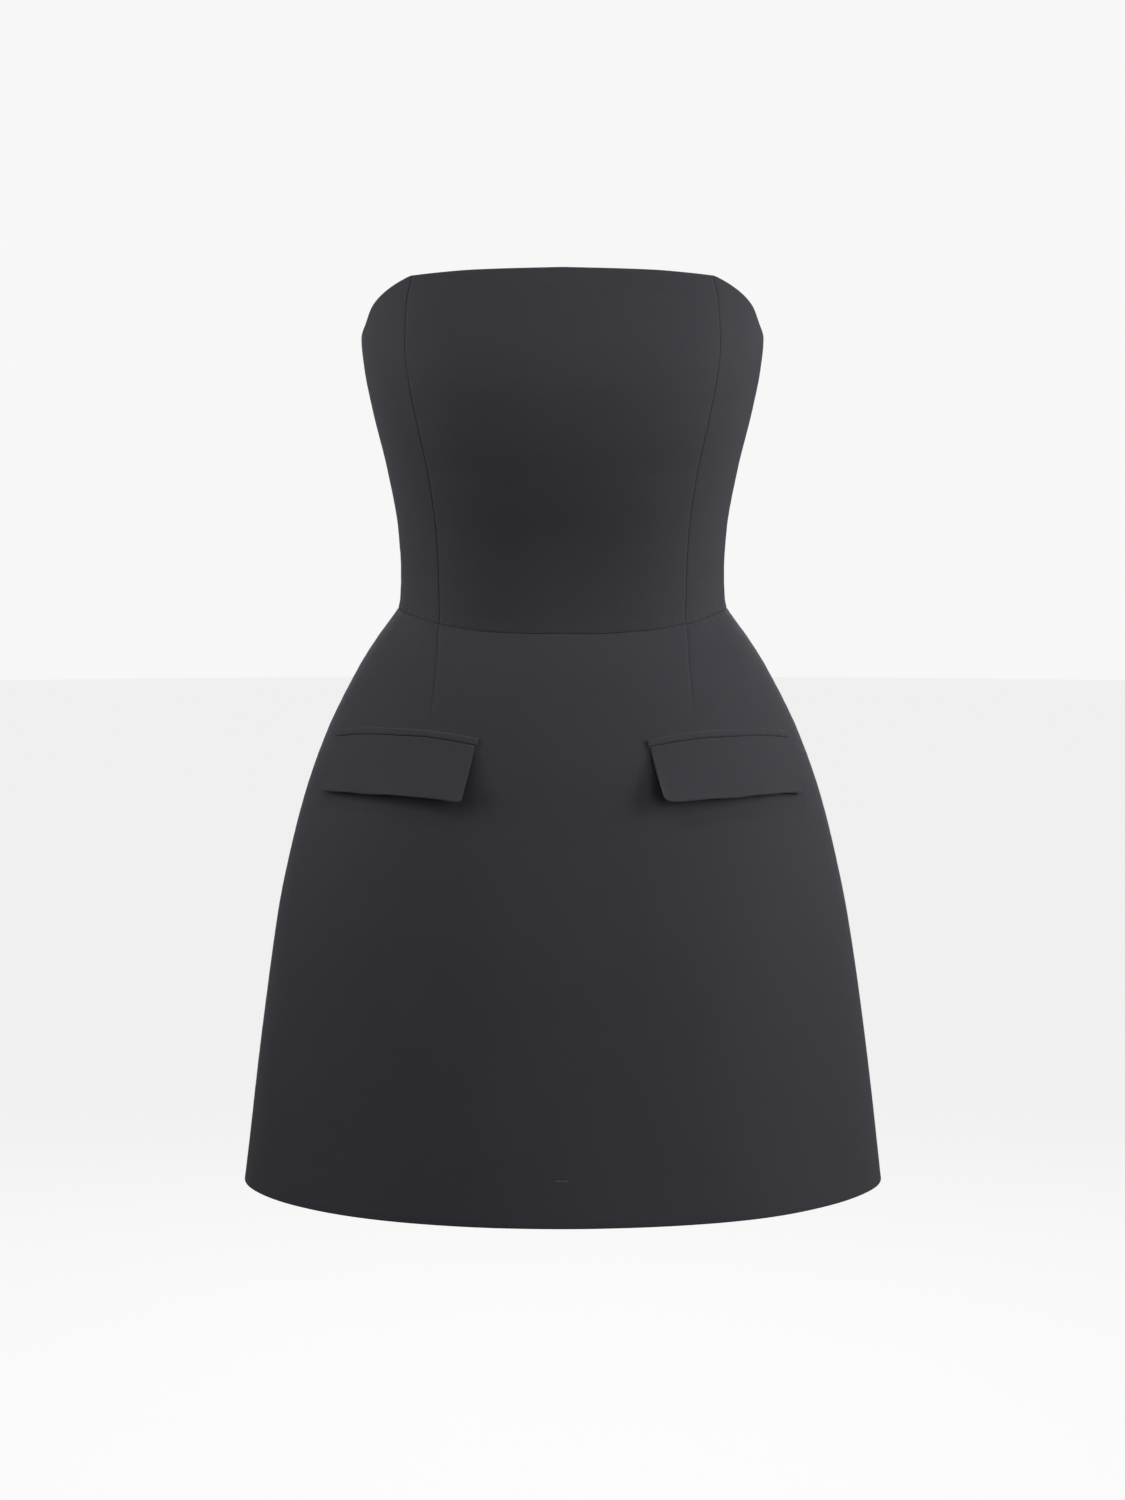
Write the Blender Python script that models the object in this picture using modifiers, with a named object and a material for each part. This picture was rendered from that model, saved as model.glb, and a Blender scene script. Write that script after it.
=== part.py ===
"""Strapless mini dress with a princess-seamed bodice, a waist seam, a bell-shaped skirt and two flap pockets.

The dress stands open and hollow, as it does when it is worn. It faces -Y, +Z is up and the
origin is the centre of the waist, where the wearer holds it. Left and right are the wearer's,
so the left side is at +X. Sizes are in metres and angles in degrees.

A point of the cloth is named by its angle round the dress (0 at centre front, 90 at the left
side seam, 180 at centre back) and by its rise above the waist seam at that angle.
"""

import math

import bmesh
import bpy
from mathutils import Vector

# Cloth and seams
WALL = 0.0015
SEAM_GAP = 0.0003
TAPE_THICKNESS = 0.0006
FLAP_THICKNESS = 0.0020
WELT_THICKNESS = 0.0024

# Dips of the waist seam below its height at the sides
FRONT_WAIST_DIP = 0.0154
BACK_WAIST_DIP = 0.0060

# Grid of the cloth
BODICE_ROWS = 15
SKIRT_ROWS = 18
SKIRT_ROW_CROWDING = 1.3
NEAR_CENTRE_BACK = 179.5

# Darts
DART_HALF_WIDTH = 0.0025
DART_DEPTH = 0.0008
BACK_BODICE_DART_RISE = 0.130
BACK_SKIRT_DART_RISE = -0.120
FRONT_DART_RISE = -0.0727
DART_FADE = 0.030

# Flap pockets
FLAP_INNER_ANGLE = 21.3
FLAP_OUTER_ANGLE = 69.3
FLAP_INNER_LEAN = 0.3
FLAP_OUTER_LEAN = -2.8
FLAP_CORNER = 0.0060
FLAP_STAND_INNER = 0.0130
FLAP_STAND_OUTER = 0.0040
FLAP_STAND_FALL = 1.4
FLAP_STAND_CURL = 1.35
FLAP_EDGE_ROUNDING = 0.0005
FLAP_COLUMNS = 14
FLAP_ROWS = 5
CORNER_COLUMNS = (0.0, 0.12, 0.45)
WELT_HEIGHT = 0.0050
WELT_EDGE_ROUNDING = 0.0007
WELT_INNER_ANGLE = 20.9
WELT_OUTER_ANGLE = 69.9

# Zip at centre back
TAPE_WIDTH = 0.0110
TAPE_CLEARANCE = 0.0005
TAPE_ROW_SPACING = 0.0006
TAPE_TOP_DROP = 0.0020
COIL_WIDTH = 0.0020
COIL_FOOT = 0.0026
COIL_HEIGHT = 0.0012
ZIP_END_HEIGHT = -0.150
OPEN_HALF_GAP = 0.0008
OPENING_TAPER = 0.012
SLIDER_DROP = 0.0085
SLIDER_HALF_LENGTH = 0.0045
SLIDER_WIDTH = 0.0050
SLIDER_DEPTH = 0.0014
SLIDER_CLEARANCE = 0.0004
CAP_WIDTH = 0.0034
CAP_DEPTH = 0.0009
NECK_THICKNESS = 0.0010
NECK_INSET = 0.0010
EYE_STANDOFF = 0.0030
EYE_RADIUS = 0.00105
EAR_RADIUS = 0.0019

# The slider's hanging pull
PULL_WIRE_RADIUS = 0.0006
PULL_LOOP_HALF_WIDTH = 0.0020
PULL_LOOP_LENGTH = 0.0070
PULL_LOOP_BEND = 0.0012
PULL_LOOP_STRAIGHT = 0.6
PULL_TAB_LENGTH = 0.0200
PULL_TAB_TOP_HALF_WIDTH = 0.0018
PULL_TAB_END_RADIUS = 0.0034
PULL_TAB_THICKNESS = 0.0016
PULL_TAB_OVERLAP = 0.0010

# Rise above the waist seam, half width, front depth, back depth, front roundness, back roundness.
# Roundness 1 is an ellipse, and less is squarer.
SKIRT_SECTIONS = (
    (-0.4430, 0.2467, 0.1690, 0.1730, 1.00, 1.00),
    (-0.3265, 0.2327, 0.1575, 0.1620, 0.98, 0.98),
    (-0.2330, 0.2188, 0.1480, 0.1545, 0.96, 0.96),
    (-0.1865, 0.2090, 0.1410, 0.1495, 0.95, 0.95),
    (-0.1401, 0.1968, 0.1330, 0.1415, 0.94, 0.94),
    (-0.0939, 0.1801, 0.1238, 0.1298, 0.93, 0.94),
    (-0.0632, 0.1654, 0.1150, 0.1160, 0.93, 0.94),
    (-0.0325, 0.1481, 0.1035, 0.0990, 0.93, 0.94),
    (0.0000, 0.1250, 0.0870, 0.0770, 0.94, 0.94),
)
BODICE_SECTIONS = (
    (0.0000, 0.1250, 0.0870, 0.0770, 0.94, 0.94),
    (0.0060, 0.1238, 0.0868, 0.0766, 0.94, 0.94),
    (0.0290, 0.1231, 0.0885, 0.0775, 0.92, 0.93),
    (0.0590, 0.1249, 0.0935, 0.0815, 0.88, 0.92),
    (0.1046, 0.1328, 0.1065, 0.0892, 0.81, 0.90),
    (0.1500, 0.1437, 0.1172, 0.0957, 0.76, 0.88),
    (0.1802, 0.1496, 0.1200, 0.0988, 0.76, 0.88),
    (0.2030, 0.1519, 0.1180, 0.1000, 0.79, 0.88),
    (0.2350, 0.1520, 0.1100, 0.1005, 0.84, 0.88),
    (0.2720, 0.1500, 0.0990, 0.1005, 0.88, 0.88),
)

# Angle round the dress, height of the top edge above the origin. The edge turns a corner at the
# princess seam, where the front panel's edge ends.
FRONT_TOP_EDGE = (
    (0, 0.2525),
    (26, 0.2510),
    (37, 0.2494),
    (48, 0.2475),
)
SIDE_TOP_EDGE = (
    (48, 0.2475),
    (56, 0.2404),
    (68, 0.2272),
    (77, 0.2120),
    (90, 0.2030),
    (110, 0.2000),
    (180, 0.2030),
)

# Angle round the dress, height of the hem above the origin.
HEM_EDGE = (
    (0, -0.4430),
    (35, -0.4429),
    (55, -0.4418),
    (72, -0.4408),
    (90, -0.4414),
    (180, -0.4420),
)

# Rise above the waist seam, angle of the front princess seam.
PRINCESS_SEAM = (
    (0.000, 47.6),
    (0.030, 48.5),
    (0.110, 47.6),
    (0.170, 48.8),
    (0.205, 49.6),
    (0.232, 49.1),
    (0.260, 46.9),
)

# Rise above the waist seam, angle of the front skirt dart, which runs into the pocket.
FRONT_DART = (
    (-0.430, 35.0),
    (-0.0727, 35.2),
    (-0.0516, 37.0),
    (-0.0263, 40.6),
    (0.000, 47.6),
)

# Angle round the dress, height of the line where a flap is sewn on, height of the flap's lower edge.
POCKET_LINES = (
    (20, -0.0965, -0.1380),
    (28, -0.0930, -0.1364),
    (38, -0.0907, -0.1350),
    (50, -0.0908, -0.1345),
    (58, -0.0917, -0.1350),
    (71, -0.0955, -0.1372),
)

# Rise above the waist seam, angle of the back darts of the skirt and the bodice.
BACK_DART = (
    (-0.430, 152.0),
    (-0.120, 150.0),
    (-0.050, 145.0),
    (0.000, 138.0),
    (0.130, 136.0),
    (0.210, 136.0),
)

CHARCOAL = (0.032, 0.031, 0.036)
ZIP_BLACK = (0.020, 0.020, 0.022)


class SmoothTable:
    """One column of a table, read between its rows along a cubic that never overshoots them."""

    def __init__(self, rows, column=1):
        self.at = [row[0] for row in rows]
        self.values = [row[column] for row in rows]
        steps = [b - a for a, b in zip(self.at, self.at[1:])]
        rates = [(b - a) / s for a, b, s in zip(self.values, self.values[1:], steps)]
        self.slopes = [rates[0]]
        for before, after in zip(rates, rates[1:]):
            level = before * after <= 0
            self.slopes.append(0.0 if level else 2 * before * after / (before + after))
        self.slopes.append(rates[-1])

    def __call__(self, position):
        position = min(max(position, self.at[0]), self.at[-1])
        row = max(i for i in range(len(self.at) - 1) if self.at[i] <= position)
        step = self.at[row + 1] - self.at[row]
        t = (position - self.at[row]) / step
        start = (1 + 2 * t) * (1 - t) ** 2 * self.values[row]
        start += t * (1 - t) ** 2 * step * self.slopes[row]
        end = t * t * (3 - 2 * t) * self.values[row + 1]
        end += t * t * (t - 1) * step * self.slopes[row + 1]
        return start + end


def meeting(lower_rows, upper_rows, column=1):
    """Two tables as one, which may turn a corner where the second begins."""
    lower = SmoothTable(lower_rows, column)
    upper = SmoothTable(upper_rows, column)
    corner = upper_rows[0][0]
    return lambda position: lower(position) if position < corner else upper(position)


half_width = meeting(SKIRT_SECTIONS, BODICE_SECTIONS, 1)
front_depth = meeting(SKIRT_SECTIONS, BODICE_SECTIONS, 2)
back_depth = meeting(SKIRT_SECTIONS, BODICE_SECTIONS, 3)
front_roundness = meeting(SKIRT_SECTIONS, BODICE_SECTIONS, 4)
back_roundness = meeting(SKIRT_SECTIONS, BODICE_SECTIONS, 5)
top_edge = meeting(FRONT_TOP_EDGE, SIDE_TOP_EDGE)
hem_edge = SmoothTable(HEM_EDGE)
princess_seam = SmoothTable(PRINCESS_SEAM)
front_dart = SmoothTable(FRONT_DART)
back_dart = SmoothTable(BACK_DART)
pocket_line = SmoothTable(POCKET_LINES, 1)
flap_lower_edge = SmoothTable(POCKET_LINES, 2)


def waist_height(angle):
    """Height of the waist seam, which is level at the sides and dips at centre front and back."""
    radians = math.radians(angle)
    dip = FRONT_WAIST_DIP if math.cos(radians) > 0 else BACK_WAIST_DIP
    return -dip * (1 - abs(math.sin(radians)) ** 3)


def rise_at(angle, height):
    return height - waist_height(angle)


def cloth_point(angle, rise):
    """The point of the dress's outer surface at this angle and rise."""
    radians = math.radians(angle)
    across, along = math.sin(radians), math.cos(radians)
    if along > 0:
        depth = -front_depth(rise) * along ** front_roundness(rise)
    else:
        depth = back_depth(rise) * (-along) ** back_roundness(rise)
    return Vector((half_width(rise) * across, depth, waist_height(angle) + rise))


def outward(angle, rise):
    """The outward direction of the surface, from two short steps along it."""
    step_angle, step_rise = 0.5, 0.001
    round_it = cloth_point(angle + step_angle, rise) - cloth_point(angle - step_angle, rise)
    up_it = cloth_point(angle, rise + step_rise) - cloth_point(angle, rise - step_rise)
    return round_it.cross(up_it).normalized()


def degrees_for(length, angle, rise):
    """The change of angle that moves a point this far round the dress."""
    step = 0.5
    there = cloth_point(angle + step, rise) - cloth_point(angle - step, rise)
    return length * 2 * step / there.length


def opening_half_gap(rise):
    """Half of the gap at centre back: a seam's up to the slider, and open from there to the top."""
    below_top = top_edge(180) - (waist_height(180) + rise)
    slider_bottom = SLIDER_DROP + SLIDER_HALF_LENGTH
    share = (slider_bottom + OPENING_TAPER - below_top) / OPENING_TAPER
    share = min(max(share, 0.0), 1.0)
    return SEAM_GAP / 2 + (OPEN_HALF_GAP - SEAM_GAP / 2) * share * share * (3 - 2 * share)


def beside(seam, offset):
    """A column this far round the dress from a seam. Both are functions of rise that give an angle."""
    return lambda rise: seam(rise) + degrees_for(offset, seam(rise), rise)


def back_edge(rise):
    return 180 - degrees_for(opening_half_gap(rise), NEAR_CENTRE_BACK, rise)


def centre_front(rise):
    return 0.0


def side_seam(rise):
    return 90.0


def dart_sink(dart, start, end):
    """How far the cloth is drawn in at a dart's own column, fading out at its point."""

    def sink(column, rise):
        if column != dart or not start <= rise <= end:
            return 0.0
        point = start if abs(start) > abs(end) else end
        return DART_DEPTH * min(1.0, abs(rise - point) / DART_FADE)

    return sink


def no_sink(column, rise):
    return 0.0


def guided_columns(guides, counts):
    """The columns of a panel: its guides, with others spread evenly between each two of them."""
    columns = []
    for start, end, count in zip(guides, guides[1:], counts):
        columns.append(start)
        for number in range(1, count):
            share = number / count
            columns.append(lambda rise, a=start, b=end, s=share: a(rise) * (1 - s) + b(rise) * s)
    columns.append(guides[-1])
    return columns


def with_dart(dart):
    """Three guides that follow a dart: its line and one on each side of it."""
    return [beside(dart, -DART_HALF_WIDTH), dart, beside(dart, DART_HALF_WIDTH)]


def bodice_span(angle):
    """Lowest and highest rise of the bodice at this angle."""
    return SEAM_GAP / 2, rise_at(angle, top_edge(abs(angle)))


def skirt_span(angle):
    return rise_at(angle, hem_edge(abs(angle))), -SEAM_GAP / 2


def column_point(column, share, span, sink):
    """The point at this share of a column's height. The angle and the span settle in a few rounds."""
    rise = 0.0
    for _ in range(4):
        low, high = span(column(rise))
        rise = low + (high - low) * share
    angle = column(rise)
    return cloth_point(angle, rise) - outward(angle, rise) * sink(column, rise)


def material(name, colour, roughness=0.9, metallic=0.0):
    made = bpy.data.materials.new(name)
    made.use_nodes = True
    shader = made.node_tree.nodes["Principled BSDF"]
    shader.inputs["Base Color"].default_value = (*colour, 1.0)
    shader.inputs["Roughness"].default_value = roughness
    shader.inputs["Metallic"].default_value = metallic
    return made


def add_object(name, mesh, finish, collection):
    made = bpy.data.objects.new(name, mesh)
    made.data.materials.append(finish)
    collection.objects.link(made)
    return made


def sheet(name, grid, side, finish, collection):
    """An open surface through rows of points. Side -1 gives the mirror image, on the wearer's right."""
    shape = bmesh.new()
    made = [[shape.verts.new((side * p.x, p.y, p.z)) for p in row] for row in grid]
    for lower, upper in zip(made, made[1:]):
        for corners in zip(lower, lower[1:], upper[1:], upper):
            shape.faces.new(corners if side > 0 else corners[::-1])
    mesh = bpy.data.meshes.new(name)
    shape.to_mesh(mesh)
    shape.free()
    mesh.shade_smooth()
    return add_object(name, mesh, finish, collection)


def thicken(piece, thickness, way):
    """Gives a sheet its thickness, inwards with way -1 and outwards with way 1."""
    modifier = piece.modifiers.new("thickness", "SOLIDIFY")
    modifier.thickness = thickness
    modifier.offset = way
    modifier.use_even_offset = True
    modifier.use_quality_normals = True
    return piece


def soften(piece, width):
    modifier = piece.modifiers.new("soft_edges", "BEVEL")
    modifier.width = width
    modifier.segments = 1
    modifier.limit_method = "ANGLE"
    modifier.angle_limit = math.radians(50)
    return piece


def panel(name, columns, shares, span, finish, collection, sink=no_sink, side=1, whole=False):
    """A panel of cloth. A whole front is its left half, mirrored at centre front."""
    grid = [[column_point(column, share, span, sink) for column in columns] for share in shares]
    piece = sheet(name, grid, side, finish, collection)
    if whole:
        mirror = piece.modifiers.new("right_half", "MIRROR")
        mirror.merge_threshold = 0.00001
    return thicken(piece, WALL, -1)


def even_shares(count):
    return [number / count for number in range(count + 1)]


def skirt_shares():
    """Rows of the skirt, closer together near the waist, where it turns outwards."""
    return sorted(1 - share**SKIRT_ROW_CROWDING for share in even_shares(SKIRT_ROWS))


def bodice(finish, collection):
    half_gap = SEAM_GAP / 2
    shares = even_shares(BODICE_ROWS)
    front = guided_columns([centre_front, beside(princess_seam, -half_gap)], [9])
    panel("bodice_front", front, shares, bodice_span, finish, collection, whole=True)
    side_front = guided_columns([beside(princess_seam, half_gap), beside(side_seam, -half_gap)], [9])
    back = guided_columns([beside(side_seam, half_gap), *with_dart(back_dart), back_edge], [7, 1, 1, 6])
    sink = dart_sink(back_dart, 0.0, BACK_BODICE_DART_RISE)
    for side, word in ((1, "left"), (-1, "right")):
        panel(f"bodice_side_front_{word}", side_front, shares, bodice_span, finish, collection, side=side)
        panel(f"bodice_back_{word}", back, shares, bodice_span, finish, collection, sink, side)


def skirt(finish, collection):
    half_gap = SEAM_GAP / 2
    shares = skirt_shares()
    guides = [centre_front, *with_dart(front_dart), beside(side_seam, -half_gap)]
    front = guided_columns(guides, [8, 1, 1, 12])
    sink = dart_sink(front_dart, FRONT_DART_RISE, 0.0)
    panel("skirt_front", front, shares, skirt_span, finish, collection, sink, whole=True)
    back = guided_columns([beside(side_seam, half_gap), *with_dart(back_dart), back_edge], [11, 1, 1, 7])
    sink = dart_sink(back_dart, BACK_SKIRT_DART_RISE, 0.0)
    for side, word in ((1, "left"), (-1, "right")):
        panel(f"skirt_back_{word}", back, shares, skirt_span, finish, collection, sink, side)


def flap_angle(across, down):
    """Angle of a flap's point. The flap is as wide below as above, where the skirt is narrower."""
    inner = FLAP_INNER_ANGLE + FLAP_INNER_LEAN * down
    outer = FLAP_OUTER_ANGLE + FLAP_OUTER_LEAN * down
    return inner + (outer - inner) * across


def flap_stand(across, down):
    """How far the flap stands off the skirt: closed at its seam, and most at its inner corner."""
    extra = FLAP_STAND_INNER - FLAP_STAND_OUTER
    lower_edge = FLAP_STAND_OUTER + extra * (1 - across) ** FLAP_STAND_FALL
    return SEAM_GAP + lower_edge * down**FLAP_STAND_CURL


def flap_point(across, down, width):
    """A point of the flap's underside, with its lower corners rounded."""
    from_end = min(across, 1 - across) * width
    short = max(0.0, FLAP_CORNER - from_end)
    cut_off = FLAP_CORNER - math.sqrt(max(FLAP_CORNER**2 - short**2, 0.0))
    angle = flap_angle(across, down)
    top = pocket_line(angle) - SEAM_GAP
    height = top + (flap_lower_edge(angle) + cut_off - top) * down
    rise = rise_at(angle, height)
    return cloth_point(angle, rise) + outward(angle, rise) * flap_stand(across, down)


def flaps(finish, collection):
    inner, outer = FLAP_INNER_ANGLE, FLAP_OUTER_ANGLE
    ends = [cloth_point(angle, rise_at(angle, pocket_line(angle))) for angle in (inner, outer)]
    width = (ends[1] - ends[0]).length
    corner_share = FLAP_CORNER / width
    middle = [corner_share + (1 - 2 * corner_share) * s for s in even_shares(FLAP_COLUMNS - 4)]
    rounding = [corner_share * place for place in CORNER_COLUMNS]
    columns = rounding + middle + [1 - share for share in reversed(rounding)]
    rows = [1 - share for share in even_shares(FLAP_ROWS)]
    grid = [[flap_point(across, down, width) for across in columns] for down in rows]
    for side, word in ((1, "left"), (-1, "right")):
        piece = sheet(f"pocket_flap_{word}", grid, side, finish, collection)
        soften(thicken(piece, FLAP_THICKNESS, 1), FLAP_EDGE_ROUNDING)


def welts(finish, collection):
    """The jet above each flap: a narrow raised strip on the skirt."""
    spread = WELT_OUTER_ANGLE - WELT_INNER_ANGLE
    angles = [WELT_INNER_ANGLE + spread * share for share in even_shares(FLAP_COLUMNS)]
    grid = []
    for up in even_shares(2):
        row = []
        for angle in angles:
            rise = rise_at(angle, pocket_line(angle) + WELT_HEIGHT * up)
            row.append(cloth_point(angle, rise) + outward(angle, rise) * SEAM_GAP)
        grid.append(row)
    for side, word in ((1, "left"), (-1, "right")):
        piece = sheet(f"pocket_welt_{word}", grid, side, finish, collection)
        soften(thicken(piece, WELT_THICKNESS, 1), WELT_EDGE_ROUNDING)


def tape_rises(coil_top):
    """Rises of the tape's rows. They lie on the panels' rows, so that the tape follows them closely."""
    low, high = skirt_span(180)
    rises = [low + (high - low) * share for share in skirt_shares()[:-1]]
    rises = [rise for rise in rises if rise > rise_at(180, ZIP_END_HEIGHT)]
    low, high = bodice_span(180)
    rises += [0.0] + [low + (high - low) * share for share in even_shares(BODICE_ROWS)[1:]]
    rises = [rise for rise in rises if abs(rise - coil_top) > TAPE_ROW_SPACING]
    below = [rise for rise in rises if rise < coil_top]
    above = [rise for rise in rises if rise > coil_top]
    above[-1] -= TAPE_TOP_DROP
    return [*below, coil_top, coil_top + TAPE_ROW_SPACING, *above]


def zip_tapes(finish, collection):
    """The two woven tapes inside centre back, each with its coil along the edge that closes."""
    slider_bottom = rise_at(180, top_edge(180) - SLIDER_DROP - SLIDER_HALF_LENGTH)
    coil_top = slider_bottom - 2 * TAPE_ROW_SPACING
    grid = []
    for rise in tape_rises(coil_top):
        row = []
        for across, raised in ((TAPE_WIDTH, 0), (COIL_FOOT, 0), (COIL_WIDTH, 1), (0.0, 1)):
            offset = opening_half_gap(rise) + across
            angle = 180 - degrees_for(offset, NEAR_CENTRE_BACK, rise)
            coil = COIL_HEIGHT * raised if rise <= coil_top else 0.0
            depth = WALL + TAPE_CLEARANCE + coil
            row.append(cloth_point(angle, rise) - outward(angle, rise) * depth)
        grid.append(row)
    for side, word in ((1, "left"), (-1, "right")):
        piece = sheet(f"zip_tape_{word}", grid, side, finish, collection)
        thicken(piece, TAPE_THICKNESS, -1)


def slider_place():
    """The point of the back's outer surface behind which the slider sits."""
    return cloth_point(180, rise_at(180, top_edge(180) - SLIDER_DROP))


def arc(centre, radius, start, end, steps):
    """Points along part of a circle, as pairs, from one angle to another."""
    turns = [math.radians(start + (end - start) * step / steps) for step in range(steps + 1)]
    return [(centre[0] + radius * math.cos(a), centre[1] + radius * math.sin(a)) for a in turns]


def flat_plate(name, outlines, thickness):
    """A plate cut to flat outlines, of which the second and later ones are holes."""
    curve = bpy.data.curves.new(name, "CURVE")
    curve.dimensions = "2D"
    curve.fill_mode = "BOTH"
    curve.extrude = thickness / 2
    for outline in outlines:
        spline = curve.splines.new("POLY")
        spline.points.add(len(outline) - 1)
        spline.use_cyclic_u = True
        for point, (across, up) in zip(spline.points, outline):
            point.co = (across, up, 0.0, 1.0)
    return bpy.data.objects.new(name, curve)


def as_mesh(curve_object, collection):
    """The curve's solid as a mesh object, with its caps welded, in the curve's place."""
    collection.objects.link(curve_object)
    bpy.context.view_layer.update()
    graph = bpy.context.evaluated_depsgraph_get()
    mesh = bpy.data.meshes.new_from_object(curve_object.evaluated_get(graph))
    place = curve_object.matrix_world.copy()
    shape = bmesh.new()
    shape.from_mesh(mesh)
    bmesh.ops.remove_doubles(shape, verts=shape.verts, dist=0.000001)
    bmesh.ops.recalc_face_normals(shape, faces=shape.faces)
    shape.to_mesh(mesh)
    shape.free()
    name = curve_object.name
    bpy.data.objects.remove(curve_object)
    made = bpy.data.objects.new(name, mesh)
    made.matrix_world = place
    collection.objects.link(made)
    return made


def block(name, size, centre, collection):
    """A box of this size round a centre, as a mesh object."""
    shape = bmesh.new()
    bmesh.ops.create_cube(shape, size=1.0)
    bmesh.ops.scale(shape, vec=size, verts=shape.verts)
    mesh = bpy.data.meshes.new(name)
    shape.to_mesh(mesh)
    shape.free()
    made = bpy.data.objects.new(name, mesh)
    made.location = centre
    collection.objects.link(made)
    return made


def fuse(piece, others):
    """Joins other pieces to one by a Boolean union. They stay as hidden guides."""
    for other in others:
        other.hide_render = True
        other.display_type = "WIRE"
        union = piece.modifiers.new("fused_" + other.name, "BOOLEAN")
        union.operation = "UNION"
        union.object = other
    return piece


def zip_slider(finish, collection, guides):
    """The slider: a body behind the tapes, a neck between the cloth's edges, a cap and the pull's eye."""
    place = slider_place()
    front_of_body = -(WALL + TAPE_CLEARANCE + TAPE_THICKNESS + SLIDER_CLEARANCE)
    middle_of_body = front_of_body - SLIDER_DEPTH / 2
    body_size = (SLIDER_WIDTH, SLIDER_DEPTH, 2 * SLIDER_HALF_LENGTH)
    body = block("zip_slider", body_size, place + Vector((0, middle_of_body, 0)), collection)
    body.data.materials.append(finish)
    half_neck = SLIDER_HALF_LENGTH - NECK_INSET
    ear = arc((EYE_STANDOFF, 0.0), EAR_RADIUS, -90, 75, 9)
    neck = [(middle_of_body, -half_neck), *ear, (middle_of_body, half_neck)]
    eye = arc((EYE_STANDOFF, 0.0), EYE_RADIUS, 0, 337.5, 15)
    plate = flat_plate("slider_neck", [neck, eye], NECK_THICKNESS)
    plate.location = place
    plate.rotation_euler = (math.radians(90), 0, math.radians(90))
    cap_size = (CAP_WIDTH, CAP_DEPTH, 2 * SLIDER_HALF_LENGTH)
    middle_of_cap = SLIDER_CLEARANCE + CAP_DEPTH / 2
    cap = block("slider_cap", cap_size, place + Vector((0, middle_of_cap, 0)), guides)
    return fuse(body, [as_mesh(plate, guides), cap])


def wire_loop(name, route, location):
    """A wire of round section along points given as pairs, in a plane across the dress."""
    wire = bpy.data.curves.new(name, "CURVE")
    wire.dimensions = "3D"
    wire.bevel_depth = PULL_WIRE_RADIUS
    wire.bevel_resolution = 2
    wire.use_fill_caps = True
    spline = wire.splines.new("POLY")
    spline.points.add(len(route) - 1)
    for point, (across, up) in zip(spline.points, route):
        point.co = (across, 0.0, up, 1.0)
    loop = bpy.data.objects.new(name, wire)
    loop.location = location
    return loop


def zip_pull(finish, collection, guides):
    """The pull: a wire loop through the slider's eye, on a flat tab that widens to a round end."""
    axle = slider_place() + Vector((0, EYE_STANDOFF, 0))
    narrow = PULL_TAB_TOP_HALF_WIDTH
    tab_top = -PULL_LOOP_LENGTH + PULL_TAB_OVERLAP
    end_centre = -PULL_LOOP_LENGTH - PULL_TAB_LENGTH + PULL_TAB_END_RADIUS
    round_end = arc((0.0, end_centre), PULL_TAB_END_RADIUS, 190, 350, 12)
    outline = [(-narrow, tab_top), *round_end, (narrow, tab_top)]
    plate = flat_plate("zip_pull", [outline], PULL_TAB_THICKNESS)
    plate.location = axle
    plate.rotation_euler = (math.radians(90), 0, 0)
    tab = as_mesh(plate, collection)
    tab.data.materials.append(finish)
    half_width, bend = PULL_LOOP_HALF_WIDTH, PULL_LOOP_BEND
    leg = [(-narrow / 2, -PULL_LOOP_LENGTH), (-half_width, -PULL_LOOP_LENGTH * PULL_LOOP_STRAIGHT)]
    leg += arc((bend - half_width, -bend), bend, 180, 90, 5)
    route = leg + [(-across, up) for across, up in reversed(leg)]
    return fuse(tab, [as_mesh(wire_loop("pull_loop", route, axle), guides)])


def main():
    for left_over in list(bpy.data.objects):
        bpy.data.objects.remove(left_over)
    dress = bpy.data.collections.new("strapless_dress")
    guides = bpy.data.collections.new("strapless_dress_guides")
    for collection in (dress, guides):
        bpy.context.scene.collection.children.link(collection)
    cloth = material("charcoal_suiting", CHARCOAL)
    tape = material("zip_tape", ZIP_BLACK)
    enamel = material("black_enamel", ZIP_BLACK, roughness=0.35, metallic=0.6)
    bodice(cloth, dress)
    skirt(cloth, dress)
    welts(cloth, dress)
    flaps(cloth, dress)
    zip_tapes(tape, dress)
    zip_slider(enamel, dress, guides)
    zip_pull(enamel, dress, guides)


main()
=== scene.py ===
"""Strapless mini dress in charcoal suiting, shown filled out with no wearer.

Every size is in metres and every angle in degrees. The dress faces -Y, +Z is up and the origin is the
centre of the waist. An angle round the dress is 0 at centre front, +90 at the wearer's left side seam
and -90 at the right one. A rise is a height above the waist seam at that angle.
"""

import math

import bmesh
import bpy
import numpy as np
from bpy.props import FloatProperty, FloatVectorProperty, PointerProperty
from bpy.types import Operator, Panel, PropertyGroup
from mathutils import Matrix, Vector


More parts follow.
